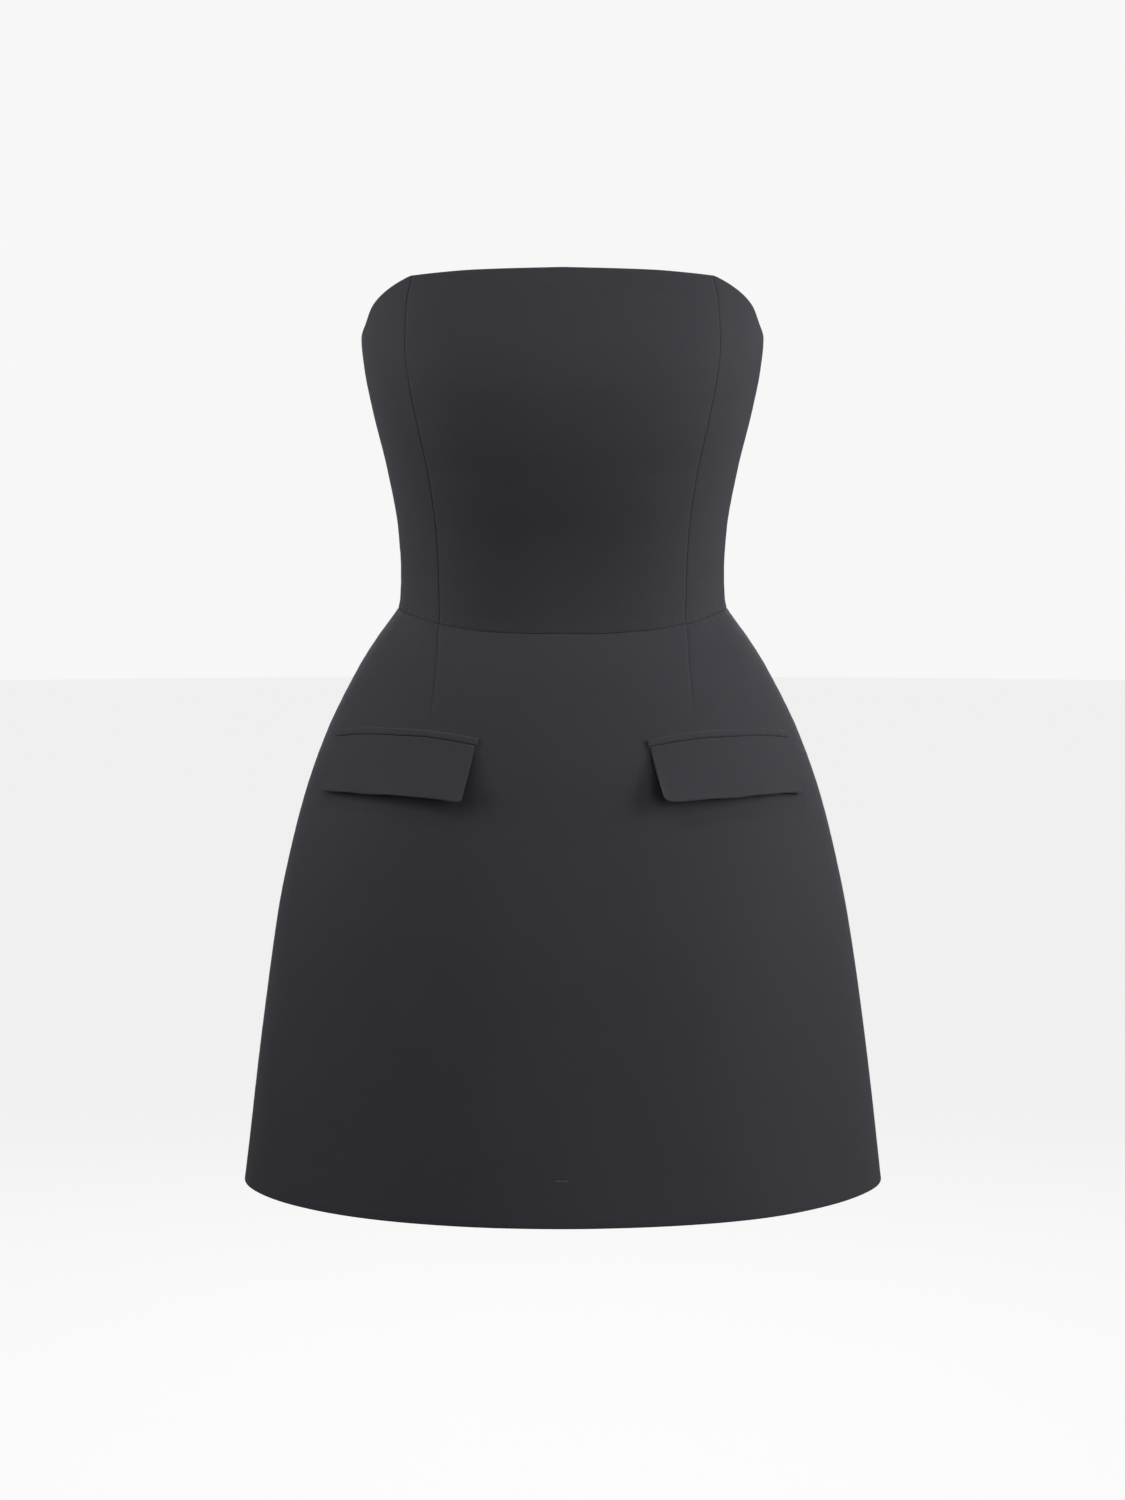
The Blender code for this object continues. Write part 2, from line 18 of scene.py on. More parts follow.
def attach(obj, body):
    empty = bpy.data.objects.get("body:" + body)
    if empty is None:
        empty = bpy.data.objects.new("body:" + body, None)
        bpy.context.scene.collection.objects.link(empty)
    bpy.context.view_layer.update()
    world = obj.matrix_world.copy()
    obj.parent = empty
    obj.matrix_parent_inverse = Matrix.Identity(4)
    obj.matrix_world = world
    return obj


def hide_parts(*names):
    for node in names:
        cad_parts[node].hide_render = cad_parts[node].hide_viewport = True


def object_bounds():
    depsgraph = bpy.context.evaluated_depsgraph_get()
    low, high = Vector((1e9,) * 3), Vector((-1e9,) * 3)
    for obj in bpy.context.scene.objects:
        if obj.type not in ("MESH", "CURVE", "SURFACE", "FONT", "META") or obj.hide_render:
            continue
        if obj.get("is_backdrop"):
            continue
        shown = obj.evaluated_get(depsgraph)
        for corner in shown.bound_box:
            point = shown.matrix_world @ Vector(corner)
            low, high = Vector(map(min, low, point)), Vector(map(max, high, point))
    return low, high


bl_info = {
    "name": "Strapless Dress",
    "version": (1, 0, 0),
    "blender": (4, 5, 0),
    "location": "3D View > Sidebar > Dress",
    "description": "Dresses the packed panels of a strapless mini dress in woven cloth",
    "category": "Object",
}

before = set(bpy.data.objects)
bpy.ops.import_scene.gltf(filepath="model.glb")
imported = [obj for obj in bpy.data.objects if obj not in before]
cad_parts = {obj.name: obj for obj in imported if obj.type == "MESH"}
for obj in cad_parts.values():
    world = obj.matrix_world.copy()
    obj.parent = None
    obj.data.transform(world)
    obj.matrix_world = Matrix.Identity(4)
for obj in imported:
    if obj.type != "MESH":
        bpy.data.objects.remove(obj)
solid_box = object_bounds()

# Dips of the waist seam below its height at the sides
FRONT_WAIST_DIP = 0.0154
BACK_WAIST_DIP = 0.0060

# Rise above the waist seam, half width, front depth, back depth, front roundness, back roundness.
# Roundness 1 is an ellipse, and less is squarer.
SKIRT_SECTIONS = (
    (-0.4430, 0.2467, 0.1690, 0.1730, 1.00, 1.00),
    (-0.3265, 0.2327, 0.1575, 0.1620, 0.98, 0.98),
    (-0.2330, 0.2188, 0.1480, 0.1545, 0.96, 0.96),
    (-0.1865, 0.2090, 0.1410, 0.1495, 0.95, 0.95),
    (-0.1401, 0.1968, 0.1330, 0.1415, 0.94, 0.94),
    (-0.0939, 0.1801, 0.1238, 0.1298, 0.93, 0.94),
    (-0.0632, 0.1654, 0.1150, 0.1160, 0.93, 0.94),
    (-0.0325, 0.1481, 0.1035, 0.0990, 0.93, 0.94),
    (0.0000, 0.1250, 0.0870, 0.0770, 0.94, 0.94),
)
BODICE_SECTIONS = (
    (0.0000, 0.1250, 0.0870, 0.0770, 0.94, 0.94),
    (0.0060, 0.1238, 0.0868, 0.0766, 0.94, 0.94),
    (0.0290, 0.1231, 0.0885, 0.0775, 0.92, 0.93),
    (0.0590, 0.1249, 0.0935, 0.0815, 0.88, 0.92),
    (0.1046, 0.1328, 0.1065, 0.0892, 0.81, 0.90),
    (0.1500, 0.1437, 0.1172, 0.0957, 0.76, 0.88),
    (0.1802, 0.1496, 0.1200, 0.0988, 0.76, 0.88),
    (0.2030, 0.1519, 0.1180, 0.1000, 0.79, 0.88),
    (0.2350, 0.1520, 0.1100, 0.1005, 0.84, 0.88),
    (0.2720, 0.1500, 0.0990, 0.1005, 0.88, 0.88),
)

# Angle, height of the top edge above the origin. It turns a corner at the princess seam.
FRONT_TOP_EDGE = ((0, 0.2525), (26, 0.2510), (37, 0.2494), (48, 0.2475))
SIDE_TOP_EDGE = (
    (48, 0.2475),
    (56, 0.2404),
    (68, 0.2272),
    (77, 0.2120),
    (90, 0.2030),
    (110, 0.2000),
    (180, 0.2030),
)

# Angle, height of the hem above the origin.
HEM_EDGE = ((0, -0.4430), (35, -0.4429), (55, -0.4418), (72, -0.4408), (90, -0.4414), (180, -0.4420))

# Rise above the waist seam, angle of the front princess seam.
PRINCESS_SEAM = (
    (0.000, 47.6),
    (0.030, 48.5),
    (0.110, 47.6),
    (0.170, 48.8),
    (0.205, 49.6),
    (0.232, 49.1),
    (0.260, 46.9),
)

# Rise above the waist seam, angle of the front skirt dart, which runs into the pocket.
FRONT_DART = ((-0.430, 35.0), (-0.0727, 35.2), (-0.0516, 37.0), (-0.0263, 40.6), (0.000, 47.6))

# Rise above the waist seam, angle of the back darts of the skirt and the bodice.
BACK_DART = (
    (-0.430, 152.0),
    (-0.120, 150.0),
    (-0.050, 145.0),
    (0.000, 138.0),
    (0.130, 136.0),
    (0.210, 136.0),
)

# Angle, height of the line where a flap is sewn on, height of the flap's lower edge.
POCKET_LINES = (
    (20, -0.0965, -0.1380),
    (28, -0.0930, -0.1364),
    (38, -0.0907, -0.1350),
    (50, -0.0908, -0.1345),
    (58, -0.0917, -0.1350),
    (71, -0.0955, -0.1372),
)

# Flap pockets
FLAP_THICKNESS = 0.0020
FLAP_INNER_ANGLE = 21.3
FLAP_OUTER_ANGLE = 69.3
FLAP_INNER_LEAN = 0.3
FLAP_OUTER_LEAN = -2.8
FLAP_STAND_INNER = 0.0130
FLAP_STAND_OUTER = 0.0040
FLAP_STAND_FALL = 1.4
FLAP_STAND_CURL = 1.35
FLAP_SEAM_INSIDE = 0.0050
FLAP_SEAM_STEP = 0.00007
FLAP_CORNER_LUMP = 0.00020
WELT_HEIGHT = 0.0050
WELT_THICKNESS = 0.0024
WELT_INNER_ANGLE = 20.9
WELT_OUTER_ANGLE = 69.9
TACK_AND_SHADE_LENGTH = 0.0085

# Zip at centre back
CLOTH_DEPTH_AT_ZIP = 0.0020
TAPE_WIDTH = 0.0110
TAPE_THICKNESS = 0.0006
TAPE_GRID = 0.0030
COIL_RADIUS = 0.0011
COIL_PITCH = 0.0013
COIL_WIRE = 0.00035
ZIP_END_HEIGHT = -0.150
OPEN_HALF_GAP = 0.0008
OPENING_TAPER = 0.012
TAPE_TOP_DROP = 0.0020
SLIDER_DROP = 0.0085
SLIDER_HALF_LENGTH = 0.0045
SLIDER_HALF_WIDTH = 0.0025
SLIDER_BODY_DEPTH = 0.0030
SLIDER_BODY_THICKNESS = 0.0014
CAP_HALF_WIDTH = 0.0017
CAP_STANDOFF = 0.0004
CAP_THICKNESS = 0.0009
NECK_THICKNESS = 0.0010
NECK_INSET = 0.0010
EYE_STANDOFF = 0.0030
EYE_RADIUS = 0.00105
EAR_RADIUS = 0.0019
PULL_WIRE_RADIUS = 0.0006
PULL_LOOP_HALF_WIDTH = 0.0020
PULL_LOOP_LENGTH = 0.0070
PULL_LOOP_BEND = 0.0012
PULL_TAB_LENGTH = 0.0200
PULL_TAB_TOP_HALF_WIDTH = 0.0018
PULL_TAB_END_RADIUS = 0.0034
PULL_TAB_THICKNESS = 0.0016
PULL_RIM_WIDTH = 0.0008
PULL_WELL_DROP = 0.0030

# Radii of the sewing threads
SEAM_THREAD = 0.00018
HAND_THREAD = 0.00022
HEM_TACK_THREAD = 0.00028
POCKET_TACK_AND_SHADE_THREAD = 0.00045

# Spacing of the hand stitches that hold the hem
HEM_STITCH = 0.0085

# The pale tack above the hem: its middle across from centre front, its height above the edge, its length
HEM_TACK = (-0.0004, 0.0348, 0.0105)

# Ends of the darts, as rises
FRONT_DART_END = -0.0727
BACK_SKIRT_DART_END = -0.120
BACK_BODICE_DART_END = 0.130
DART_FADE = 0.030

# Soft folds and drag lines: angle and height of one end, angle and height of the other, half width,
# height of the ridge, or depth of the trough where it is below zero.
SKIRT_FOLDS = (
    (-13, -0.190, -15, -0.460, 0.030, 0.0011),
    (8, -0.160, 11, -0.460, 0.027, -0.0010),
    (26, -0.230, 31, -0.460, 0.029, 0.0012),
    (49, -0.180, 54, -0.460, 0.034, -0.0013),
    (72, -0.220, 76, -0.460, 0.032, 0.0010),
    (-35, -0.210, -39, -0.460, 0.031, -0.0013),
    (-60, -0.170, -66, -0.460, 0.036, 0.0013),
    (-84, -0.230, -88, -0.460, 0.030, -0.0009),
    (101, -0.190, 106, -0.460, 0.033, -0.0013),
    (124, -0.170, 128, -0.460, 0.036, 0.0017),
    (146, -0.240, 149, -0.460, 0.029, -0.0014),
    (166, -0.200, 167, -0.460, 0.030, 0.0014),
    (-108, -0.180, -112, -0.460, 0.034, 0.0016),
    (-131, -0.220, -136, -0.460, 0.032, -0.0015),
    (-156, -0.160, -158, -0.460, 0.035, 0.0013),
    (-174, -0.250, -173, -0.460, 0.026, -0.0012),
)
HIP_DRAGS = (
    (-71, -0.012, -52, -0.034, 0.0055, -0.0006),
    (-83, -0.026, -60, -0.047, 0.0065, 0.0005),
    (66, -0.010, 49, -0.024, 0.0050, -0.0006),
    (84, -0.021, 63, -0.039, 0.0065, 0.0005),
    (-30, -0.021, -12, -0.030, 0.0060, -0.0003),
    (112, -0.014, 131, -0.036, 0.0060, -0.0007),
    (120, -0.006, 152, -0.024, 0.0070, 0.0005),
    (-107, -0.010, -126, -0.031, 0.0060, -0.0006),
    (-118, -0.005, -158, -0.021, 0.0070, 0.0006),
)
BODICE_DRAGS = (
    (-78, 0.030, -54, 0.021, 0.0048, -0.0006),
    (-86, 0.048, -57, 0.041, 0.0060, 0.0005),
    (-74, 0.083, -56, 0.070, 0.0070, -0.0005),
    (76, 0.026, 55, 0.018, 0.0046, -0.0006),
    (85, 0.043, 59, 0.035, 0.0060, 0.0005),
    (73, 0.078, 54, 0.068, 0.0065, -0.0005),
    (-44, 0.112, -23, 0.100, 0.0080, -0.0004),
    (43, 0.108, 25, 0.098, 0.0075, -0.0004),
    (-80, 0.180, -60, 0.150, 0.0085, -0.0006),
    (81, 0.176, 62, 0.148, 0.0085, -0.0006),
    (102, 0.060, 134, 0.048, 0.0070, -0.0009),
    (106, 0.036, 140, 0.030, 0.0060, 0.0007),
    (143, 0.072, 172, 0.066, 0.0080, -0.0008),
    (-99, 0.054, -129, 0.045, 0.0070, -0.0009),
    (-104, 0.034, -146, 0.027, 0.0065, 0.0007),
    (-140, 0.080, -171, 0.070, 0.0085, -0.0008),
    (150, 0.030, 174, 0.024, 0.0055, -0.0006),
    (-148, 0.047, -175, 0.040, 0.0060, 0.0006),
)

# The wearer's left princess seam and front dart are sewn closer, and hardly show
TIGHT_SEAM = 0.5
FAINT_DART = 0.55

# Wave lengths of the slight pucker along a seam, with the share of each
PUCKER_WAVES = ((0.0071, 0.3), (0.0113, 0.6), (0.0237, 0.5))


class SmoothTable:
    """One column of a table, read between its rows along a cubic that never overshoots them."""

    def __init__(self, rows, column=1):
        self.at = np.array([row[0] for row in rows], dtype=float)
        self.values = np.array([row[column] for row in rows], dtype=float)
        rates = np.diff(self.values) / np.diff(self.at)
        inner = [0.0 if a * b <= 0 else 2 * a * b / (a + b) for a, b in zip(rates, rates[1:])]
        self.slopes = np.array([rates[0], *inner, rates[-1]])

    def __call__(self, position):
        position = np.clip(position, self.at[0], self.at[-1])
        row = np.clip(np.searchsorted(self.at, position, side="right") - 1, 0, len(self.at) - 2)
        step = self.at[row + 1] - self.at[row]
        t = (position - self.at[row]) / step
        start = (1 + 2 * t) * (1 - t) ** 2 * self.values[row]
        start = start + t * (1 - t) ** 2 * step * self.slopes[row]
        end = t * t * (3 - 2 * t) * self.values[row + 1]
        end = end + t * t * (t - 1) * step * self.slopes[row + 1]
        return start + end


def meeting(lower_rows, upper_rows, column=1):
    """Two tables as one, which may turn a corner where the second begins."""
    lower = SmoothTable(lower_rows, column)
    upper = SmoothTable(upper_rows, column)
    corner = upper_rows[0][0]
    return lambda position: np.where(np.asarray(position) < corner, lower(position), upper(position))


half_width = meeting(SKIRT_SECTIONS, BODICE_SECTIONS, 1)
front_depth = meeting(SKIRT_SECTIONS, BODICE_SECTIONS, 2)
back_depth = meeting(SKIRT_SECTIONS, BODICE_SECTIONS, 3)
front_roundness = meeting(SKIRT_SECTIONS, BODICE_SECTIONS, 4)
back_roundness = meeting(SKIRT_SECTIONS, BODICE_SECTIONS, 5)
top_edge = meeting(FRONT_TOP_EDGE, SIDE_TOP_EDGE)
hem_edge = SmoothTable(HEM_EDGE)
princess_seam = SmoothTable(PRINCESS_SEAM)
front_dart = SmoothTable(FRONT_DART)
back_dart = SmoothTable(BACK_DART)
pocket_line = SmoothTable(POCKET_LINES, 1)
flap_lower_edge = SmoothTable(POCKET_LINES, 2)


def ease(share):
    """0 to 1 with no corner at either end."""
    share = np.clip(share, 0.0, 1.0)
    return share * share * (3 - 2 * share)


def waist_height(angle):
    """Height of the waist seam, which is level at the sides and dips at centre front and back."""
    radians = np.radians(angle)
    dip = np.where(np.cos(radians) > 0, FRONT_WAIST_DIP, BACK_WAIST_DIP)
    return -dip * (1 - np.abs(np.sin(radians)) ** 3)


def cloth_point(angle, rise):
    """Points of the dress's outer surface, for arrays of angles and rises."""
    radians = np.radians(angle)
    across, along = np.sin(radians), np.cos(radians)
    front = -front_depth(rise) * np.abs(along) ** front_roundness(rise)
    back = back_depth(rise) * np.abs(along) ** back_roundness(rise)
    depth = np.where(along > 0, front, back)
    return np.stack([half_width(rise) * across, depth, waist_height(angle) + rise], axis=-1)


def outward(angle, rise):
    """Outward directions of the surface, from two short steps along it."""
    step_angle, step_rise = 0.5, 0.001
    round_it = cloth_point(angle + step_angle, rise) - cloth_point(angle - step_angle, rise)
    up_it = cloth_point(angle, rise + step_rise) - cloth_point(angle, rise - step_rise)
    way = np.cross(round_it, up_it)
    return way / np.linalg.norm(way, axis=-1, keepdims=True)


def degrees_per_metre(angle, rise):
    step = 0.5
    there = cloth_point(angle + step, rise) - cloth_point(angle - step, rise)
    return 2 * step / np.linalg.norm(there, axis=-1)


def fold_relief(angle, height, rise, folds, strength):
    """Height of the soft folds and drag lines over the plain surface."""
    metres = 1 / degrees_per_metre(angle, rise)
    relief = np.zeros_like(height)
    for start_angle, start_height, end_angle, end_height, reach, depth in folds:
        run = (end_angle - start_angle) * metres, end_height - start_height
        gone = (angle - start_angle) * metres, height - start_height
        length = np.hypot(*run)
        along = (gone[0] * run[0] + gone[1] * run[1]) / length**2
        aside = (gone[0] * run[1] - gone[1] * run[0]) / length
        fade = ease((along + 0.15) / 0.45) * ease((1.15 - along) / 0.45)
        relief += strength * depth * fade * np.exp(-((aside / reach) ** 2))
    return relief


def pucker(along, phase):
    """The uneven wave of a sewn seam, between about -1 and 1."""
    return sum(share * np.sin(2 * math.pi * along / length + phase) for length, share in PUCKER_WAVES)


class DressSizes(PropertyGroup):
    """Sizes of the cloth and of how it is sewn."""

    cloth: FloatProperty(
        name="Cloth thickness", description="One layer of the suiting", default=0.0011, unit="LENGTH")
    seam_gap: FloatProperty(
        name="Seam gap", description="Gap between two panels at a seam", default=0.00025, unit="LENGTH")
    seam_roll: FloatProperty(
        name="Seam roll", description="Radius at which a panel turns into its seam", default=0.00045,
        unit="LENGTH")
    edge_roll: FloatProperty(
        name="Edge roll", description="Radius of the folded top edge and hem", default=0.0010, unit="LENGTH")
    allowance: FloatProperty(
        name="Seam allowance", description="Width pressed open inside a seam", default=0.0100, unit="LENGTH")
    top_turn: FloatProperty(
        name="Top turning", description="Depth of the turned-in top edge", default=0.0120, unit="LENGTH")
    hem_turn: FloatProperty(
        name="Hem depth", description="Depth of the turned-up hem", default=0.0350, unit="LENGTH")
    bodice_grid: FloatProperty(
        name="Bodice grid", description="Spacing of the bodice's points", default=0.0027, unit="LENGTH")
    skirt_grid: FloatProperty(
        name="Skirt grid", description="Spacing of the skirt's points", default=0.0035, unit="LENGTH")
    flap_grid: FloatProperty(
        name="Pocket grid", description="Spacing of the pockets' points", default=0.0013, unit="LENGTH")
    fold_strength: FloatProperty(
        name="Fold strength", description="Share of the soft folds' height", default=1.0, min=0.0, max=3.0)
    pucker_height: FloatProperty(
        name="Seam pucker", description="Height of the slight wave along seams", default=0.00014,
        unit="LENGTH")
    pucker_reach: FloatProperty(
        name="Pucker reach", description="How far the seams' wave runs into the cloth", default=0.0065,
        unit="LENGTH")
    dart_depth: FloatProperty(
        name="Dart depth", description="Depth of the line sewn down a dart", default=0.0007, unit="LENGTH")


class DressFinish(PropertyGroup):
    """Colours and textures of the dress."""

    charcoal: FloatVectorProperty(
        name="Suiting", description="Colour of the cloth", subtype="COLOR", size=3, min=0.0, max=1.0,
        default=(0.0302, 0.0290, 0.0356))
    charcoal_fleck: FloatVectorProperty(
        name="Suiting fleck", description="Colour of the lighter fibres", subtype="COLOR", size=3, min=0.0,
        max=1.0, default=(0.0394, 0.0382, 0.0460))
    tape_black: FloatVectorProperty(
        name="Zip tape", description="Colour of the zip's tapes and coil", subtype="COLOR", size=3, min=0.0,
        max=1.0, default=(0.014, 0.014, 0.016))
    metal_black: FloatVectorProperty(
        name="Zip metal", description="Colour of the slider and its pull", subtype="COLOR", size=3, min=0.0,
        max=1.0, default=(0.020, 0.020, 0.022))
    thread_pale: FloatVectorProperty(
        name="Pale thread", description="Colour of the tack at the hem", subtype="COLOR", size=3, min=0.0,
        max=1.0, default=(0.150, 0.148, 0.150))
    weave_pitch: FloatProperty(
        name="Thread spacing", description="Distance between two threads of the suiting", default=0.00045,
        unit="LENGTH")


class StageLook(PropertyGroup):
    """The floor, the lights and the camera."""

    floor_colour: FloatVectorProperty(
        name="Floor", description="Colour of the floor and its surroundings", subtype="COLOR", size=3,
        min=0.0, max=1.0, default=(0.930, 0.930, 0.930))
    floor_height: FloatProperty(
        name="Floor height", description="Height of the floor below the worn dress's waist", default=-1.02,
        unit="LENGTH")
    surround: FloatProperty(
        name="Soft light", description="Strength of the light from all round", default=0.03, min=0.0, max=5.0)
    left_watts: FloatProperty(
        name="Left light", description="Power of the softbox at the picture's left", default=13.0, min=0.0)
    rim_watts: FloatProperty(
        name="Rim lights", description="Power of each narrow light on the bodice's sides", default=0.22,
        min=0.0)
    bust_watts: FloatProperty(
        name="Bust light", description="Power of the narrow light on the top of the bust", default=0.3,
        min=0.0)
    right_watts: FloatProperty(
        name="Right light", description="Power of the softbox at the picture's right", default=20.5, min=0.0)
    front_watts: FloatProperty(
        name="Front light", description="Power of the softbox right of the camera", default=20.0, min=0.0)
    high_watts: FloatProperty(
        name="High light", description="Power of the softbox above, at the left", default=11.0, min=0.0)
    rear_watts: FloatProperty(
        name="Rear light", description="Power of the softbox behind", default=40.0, min=0.0)
    camera_distance: FloatProperty(
        name="Camera distance", description="From the dress's axis to the camera", default=2.5, unit="LENGTH")
    camera_height: FloatProperty(
        name="Camera height", description="Height of the camera above the waist", default=0.12, unit="LENGTH")
    camera_tilt: FloatProperty(
        name="Camera tilt", description="How far the camera looks down", default=math.radians(5.24),
        subtype="ANGLE")
    camera_lens: FloatProperty(
        name="Lens", description="Focal length of the camera in millimetres", default=78.6, min=10.0)


def beside(seam, offset):
    """A column this far round the dress from a seam. Both are functions of rise that give an angle."""

    def column(rise):
        at = seam(rise)
        return at + offset * degrees_per_metre(at, rise)

    return column


def between(start, end, share):
    return lambda rise: start(rise) * (1 - share) + end(rise) * share


def mirrored(seam):
    return lambda rise: -seam(rise)


def steady(angle):
    return lambda rise: np.zeros_like(rise) + angle


def rim_steps(roll, turned, spacing):
    """Distances from an edge that get a line of points: close on its roll, and where a turning ends."""
    steps = [roll * (1 - math.cos(math.radians(turn))) for turn in (0, 35, 60, 90)]
    reach = max(turned - 0.0004, 3 * roll)
    count = max(1, round((reach - roll) / spacing))
    steps += [roll + (reach - roll) * number / count for number in range(1, count + 1)]
    return steps + [turned + 0.0004] if turned else steps


def rolled(distance, roll):
    """How far a rounded edge has dropped, this far in from it."""
    short = np.clip(roll - distance, 0.0, roll)
    return roll - np.sqrt(roll**2 - short**2)


def shell(name, outer, inner, finish, pressed=None):
    """A closed shell between two grids of points. The cloth's map is in metres along its threads."""
    rows, columns = outer.shape[:2]
    front = np.arange(rows * columns).reshape(rows, columns)
    behind = front + rows * columns

    def quads(corners):
        return np.stack([c.ravel() for c in corners], axis=-1)

    faces = np.concatenate([
        quads((front[:-1, :-1], front[:-1, 1:], front[1:, 1:], front[1:, :-1])),
        quads((behind[1:, :-1], behind[1:, 1:], behind[:-1, 1:], behind[:-1, :-1])),
        quads((behind[0, :-1], behind[0, 1:], front[0, 1:], front[0, :-1])),
        quads((front[-1, :-1], front[-1, 1:], behind[-1, 1:], behind[-1, :-1])),
        quads((front[:-1, 0], front[1:, 0], behind[1:, 0], behind[:-1, 0])),
        quads((behind[:-1, -1], behind[1:, -1], front[1:, -1], front[:-1, -1])),
    ])
    mesh = bpy.data.meshes.new(name)
    points = np.concatenate([outer.reshape(-1, 3), inner.reshape(-1, 3)])
    mesh.from_pydata(points.tolist(), [], faces.tolist())
    across = np.linalg.norm(np.diff(outer, axis=1), axis=-1).cumsum(axis=1)
    across = np.concatenate([np.zeros((rows, 1)), across], axis=1)
    across -= across[:, columns // 2, None]
    up = np.linalg.norm(np.diff(outer, axis=0), axis=-1).cumsum(axis=0)
    up = np.concatenate([np.zeros((1, columns)), up], axis=0)
    places = np.stack([across, up], axis=-1).reshape(-1, 2)
    places = np.concatenate([places, places])
    corners = np.empty(len(mesh.loops), dtype=np.int32)
    mesh.loops.foreach_get("vertex_index", corners)
    layer = mesh.uv_layers.new(name="threads")
    layer.uv.foreach_set("vector", places[corners].astype(np.float32).ravel())
    marks = mesh.attributes.new("pressed", "FLOAT", "POINT")
    flat = np.zeros(rows * columns) if pressed is None else pressed.ravel()
    marks.data.foreach_set("value", np.concatenate([flat, flat]).astype(np.float32))
    mesh.shade_smooth()
    mesh.set_sharp_from_angle(angle=math.radians(62))
    piece = bpy.data.objects.new(name, mesh)
    bpy.context.scene.collection.objects.link(piece)
    mesh.materials.append(bpy.data.materials[finish])
    return piece


def cloth_area(piece):
    """Area of one side of a closed shell."""
    return sum(face.area for face in piece.data.polygons) / 2


class PanelCut:
    """A panel of the dress between two seams, with its darts, from its lower edge to its upper one."""

    def __init__(self, sizes, start, end, span, spacing, darts, turned, rolls, folds):
        self.sizes, self.start, self.end, self.span = sizes, start, end, span
        self.darts, self.folds = darts, folds
        self.start_turned, self.end_turned, self.low_turned, self.high_turned = turned
        self.low_roll, self.high_roll = rolls
        self.columns = self.column_places(spacing)
        self.rows = self.row_places(spacing)
        self.settle()

    def column_places(self, spacing):
        roll = self.sizes.seam_roll
        dart_steps = (0.0030, 0.0014, 0.0007, 0.0003)
        guides = [[beside(self.start, step) for step in rim_steps(roll, self.start_turned, spacing)]]
        for line, _, _ in self.darts:
            near = [beside(line, -step) for step in dart_steps] + [line]
            guides.append(near + [beside(line, step) for step in reversed(dart_steps)])
        last = [beside(self.end, -step) for step in rim_steps(roll, self.end_turned, spacing)]
        guides.append(last[::-1])
        columns = []
        low, high = self.span(np.full(5, 90.0))
        heights = low + (high - low) * np.linspace(0, 1, 5)
        for left, right in zip(guides, guides[1:]):
            columns += left
            near = left[-1](heights)
            gap = np.abs(right[0](heights) - near) / degrees_per_metre(near, heights)
            count = max(2, int(math.ceil(gap.max() / spacing)))
            columns += [between(left[-1], right[0], number / count) for number in range(1, count)]
        return columns + guides[-1]

    def row_places(self, spacing):
        low = rim_steps(self.low_roll, self.low_turned, spacing)
        high = rim_steps(self.high_roll, self.high_turned, spacing)
        below, above = self.span(np.array([0.0]))
        count = int(math.ceil(float((above - below)[0] - low[-1] - high[-1]) / spacing))
        rows = [(0.0, step) for step in low]
        rows += [(number / count, None) for number in range(1, count)]
        rows += [(1.0, -step) for step in reversed(high)]
        self.low_steps, self.high_steps = low[-1], high[-1]
        return rows

    def settle(self):
        """The angle and the rise of each point, which depend on each other and settle in a few rounds."""
        rise = np.zeros((len(self.rows), len(self.columns)))
        angle = np.zeros_like(rise)
        for _ in range(4):
            for number, column in enumerate(self.columns):
                angle[:, number] = column(rise[:, number])
            low, high = self.span(angle)
            for number, (share, step) in enumerate(self.rows):
                if step is None:
                    first, last = low[number] + self.low_steps, high[number] - self.high_steps
                    rise[number] = first * (1 - share) + last * share
                else:
                    rise[number] = (low if share == 0 else high)[number] + step
        self.angle, self.rise = angle, rise
        self.below, self.above = rise - low, high - rise

    def from_seam(self, seam):
        at = seam(self.rise)
        return (self.angle - at) / degrees_per_metre(at, self.rise)

    def dart_relief(self):
        relief = np.zeros_like(self.rise)
        for line, low, high in self.darts:
            point = low if abs(low) > abs(high) else high
            inside = (self.rise >= min(low, high)) & (self.rise <= max(low, high))
            fade = np.clip(np.abs(self.rise - point) / DART_FADE, 0.0, 1.0) * inside
            aside = np.abs(self.from_seam(line))
            groove = np.exp(-((aside / 0.0007) ** 2)) + 0.35 * np.exp(-((aside / 0.0030) ** 2))
            strength = FAINT_DART if line is front_dart else 1.0
            relief -= strength * self.sizes.dart_depth * fade * groove
        return relief

    def seam_relief(self, height):
        """The slight pucker beside each seam, alike on both of its panels."""
        relief = np.zeros_like(self.rise)
        reach = self.sizes.pucker_reach
        for seam in (self.start, self.end):
            phase = round(float(np.abs(seam(np.array([0.0])))[0])) * 0.7
            aside = np.abs(self.from_seam(seam))
            relief += self.sizes.pucker_height * pucker(height, phase) * np.exp(-aside / reach)
        metres = np.radians(self.angle) * float(half_width(0.0))
        at_waist = np.abs(self.rise)
        relief += self.sizes.pucker_height * 1.6 * pucker(metres, 1.1) * np.exp(-at_waist / reach)
        return relief

    def turned_share(self):
        """1 where the cloth is double, because a seam allowance or a hem lies inside it."""
        share = np.zeros_like(self.rise)
        distances = (
            (np.abs(self.from_seam(self.start)), self.start_turned),
            (np.abs(self.from_seam(self.end)), self.end_turned),
            (self.below, self.low_turned),
            (self.above, self.high_turned),
        )
        for distance, turned in distances:
            if turned:
                share = np.maximum(share, ease((turned + 0.0004 - distance) / 0.0008))
        return share

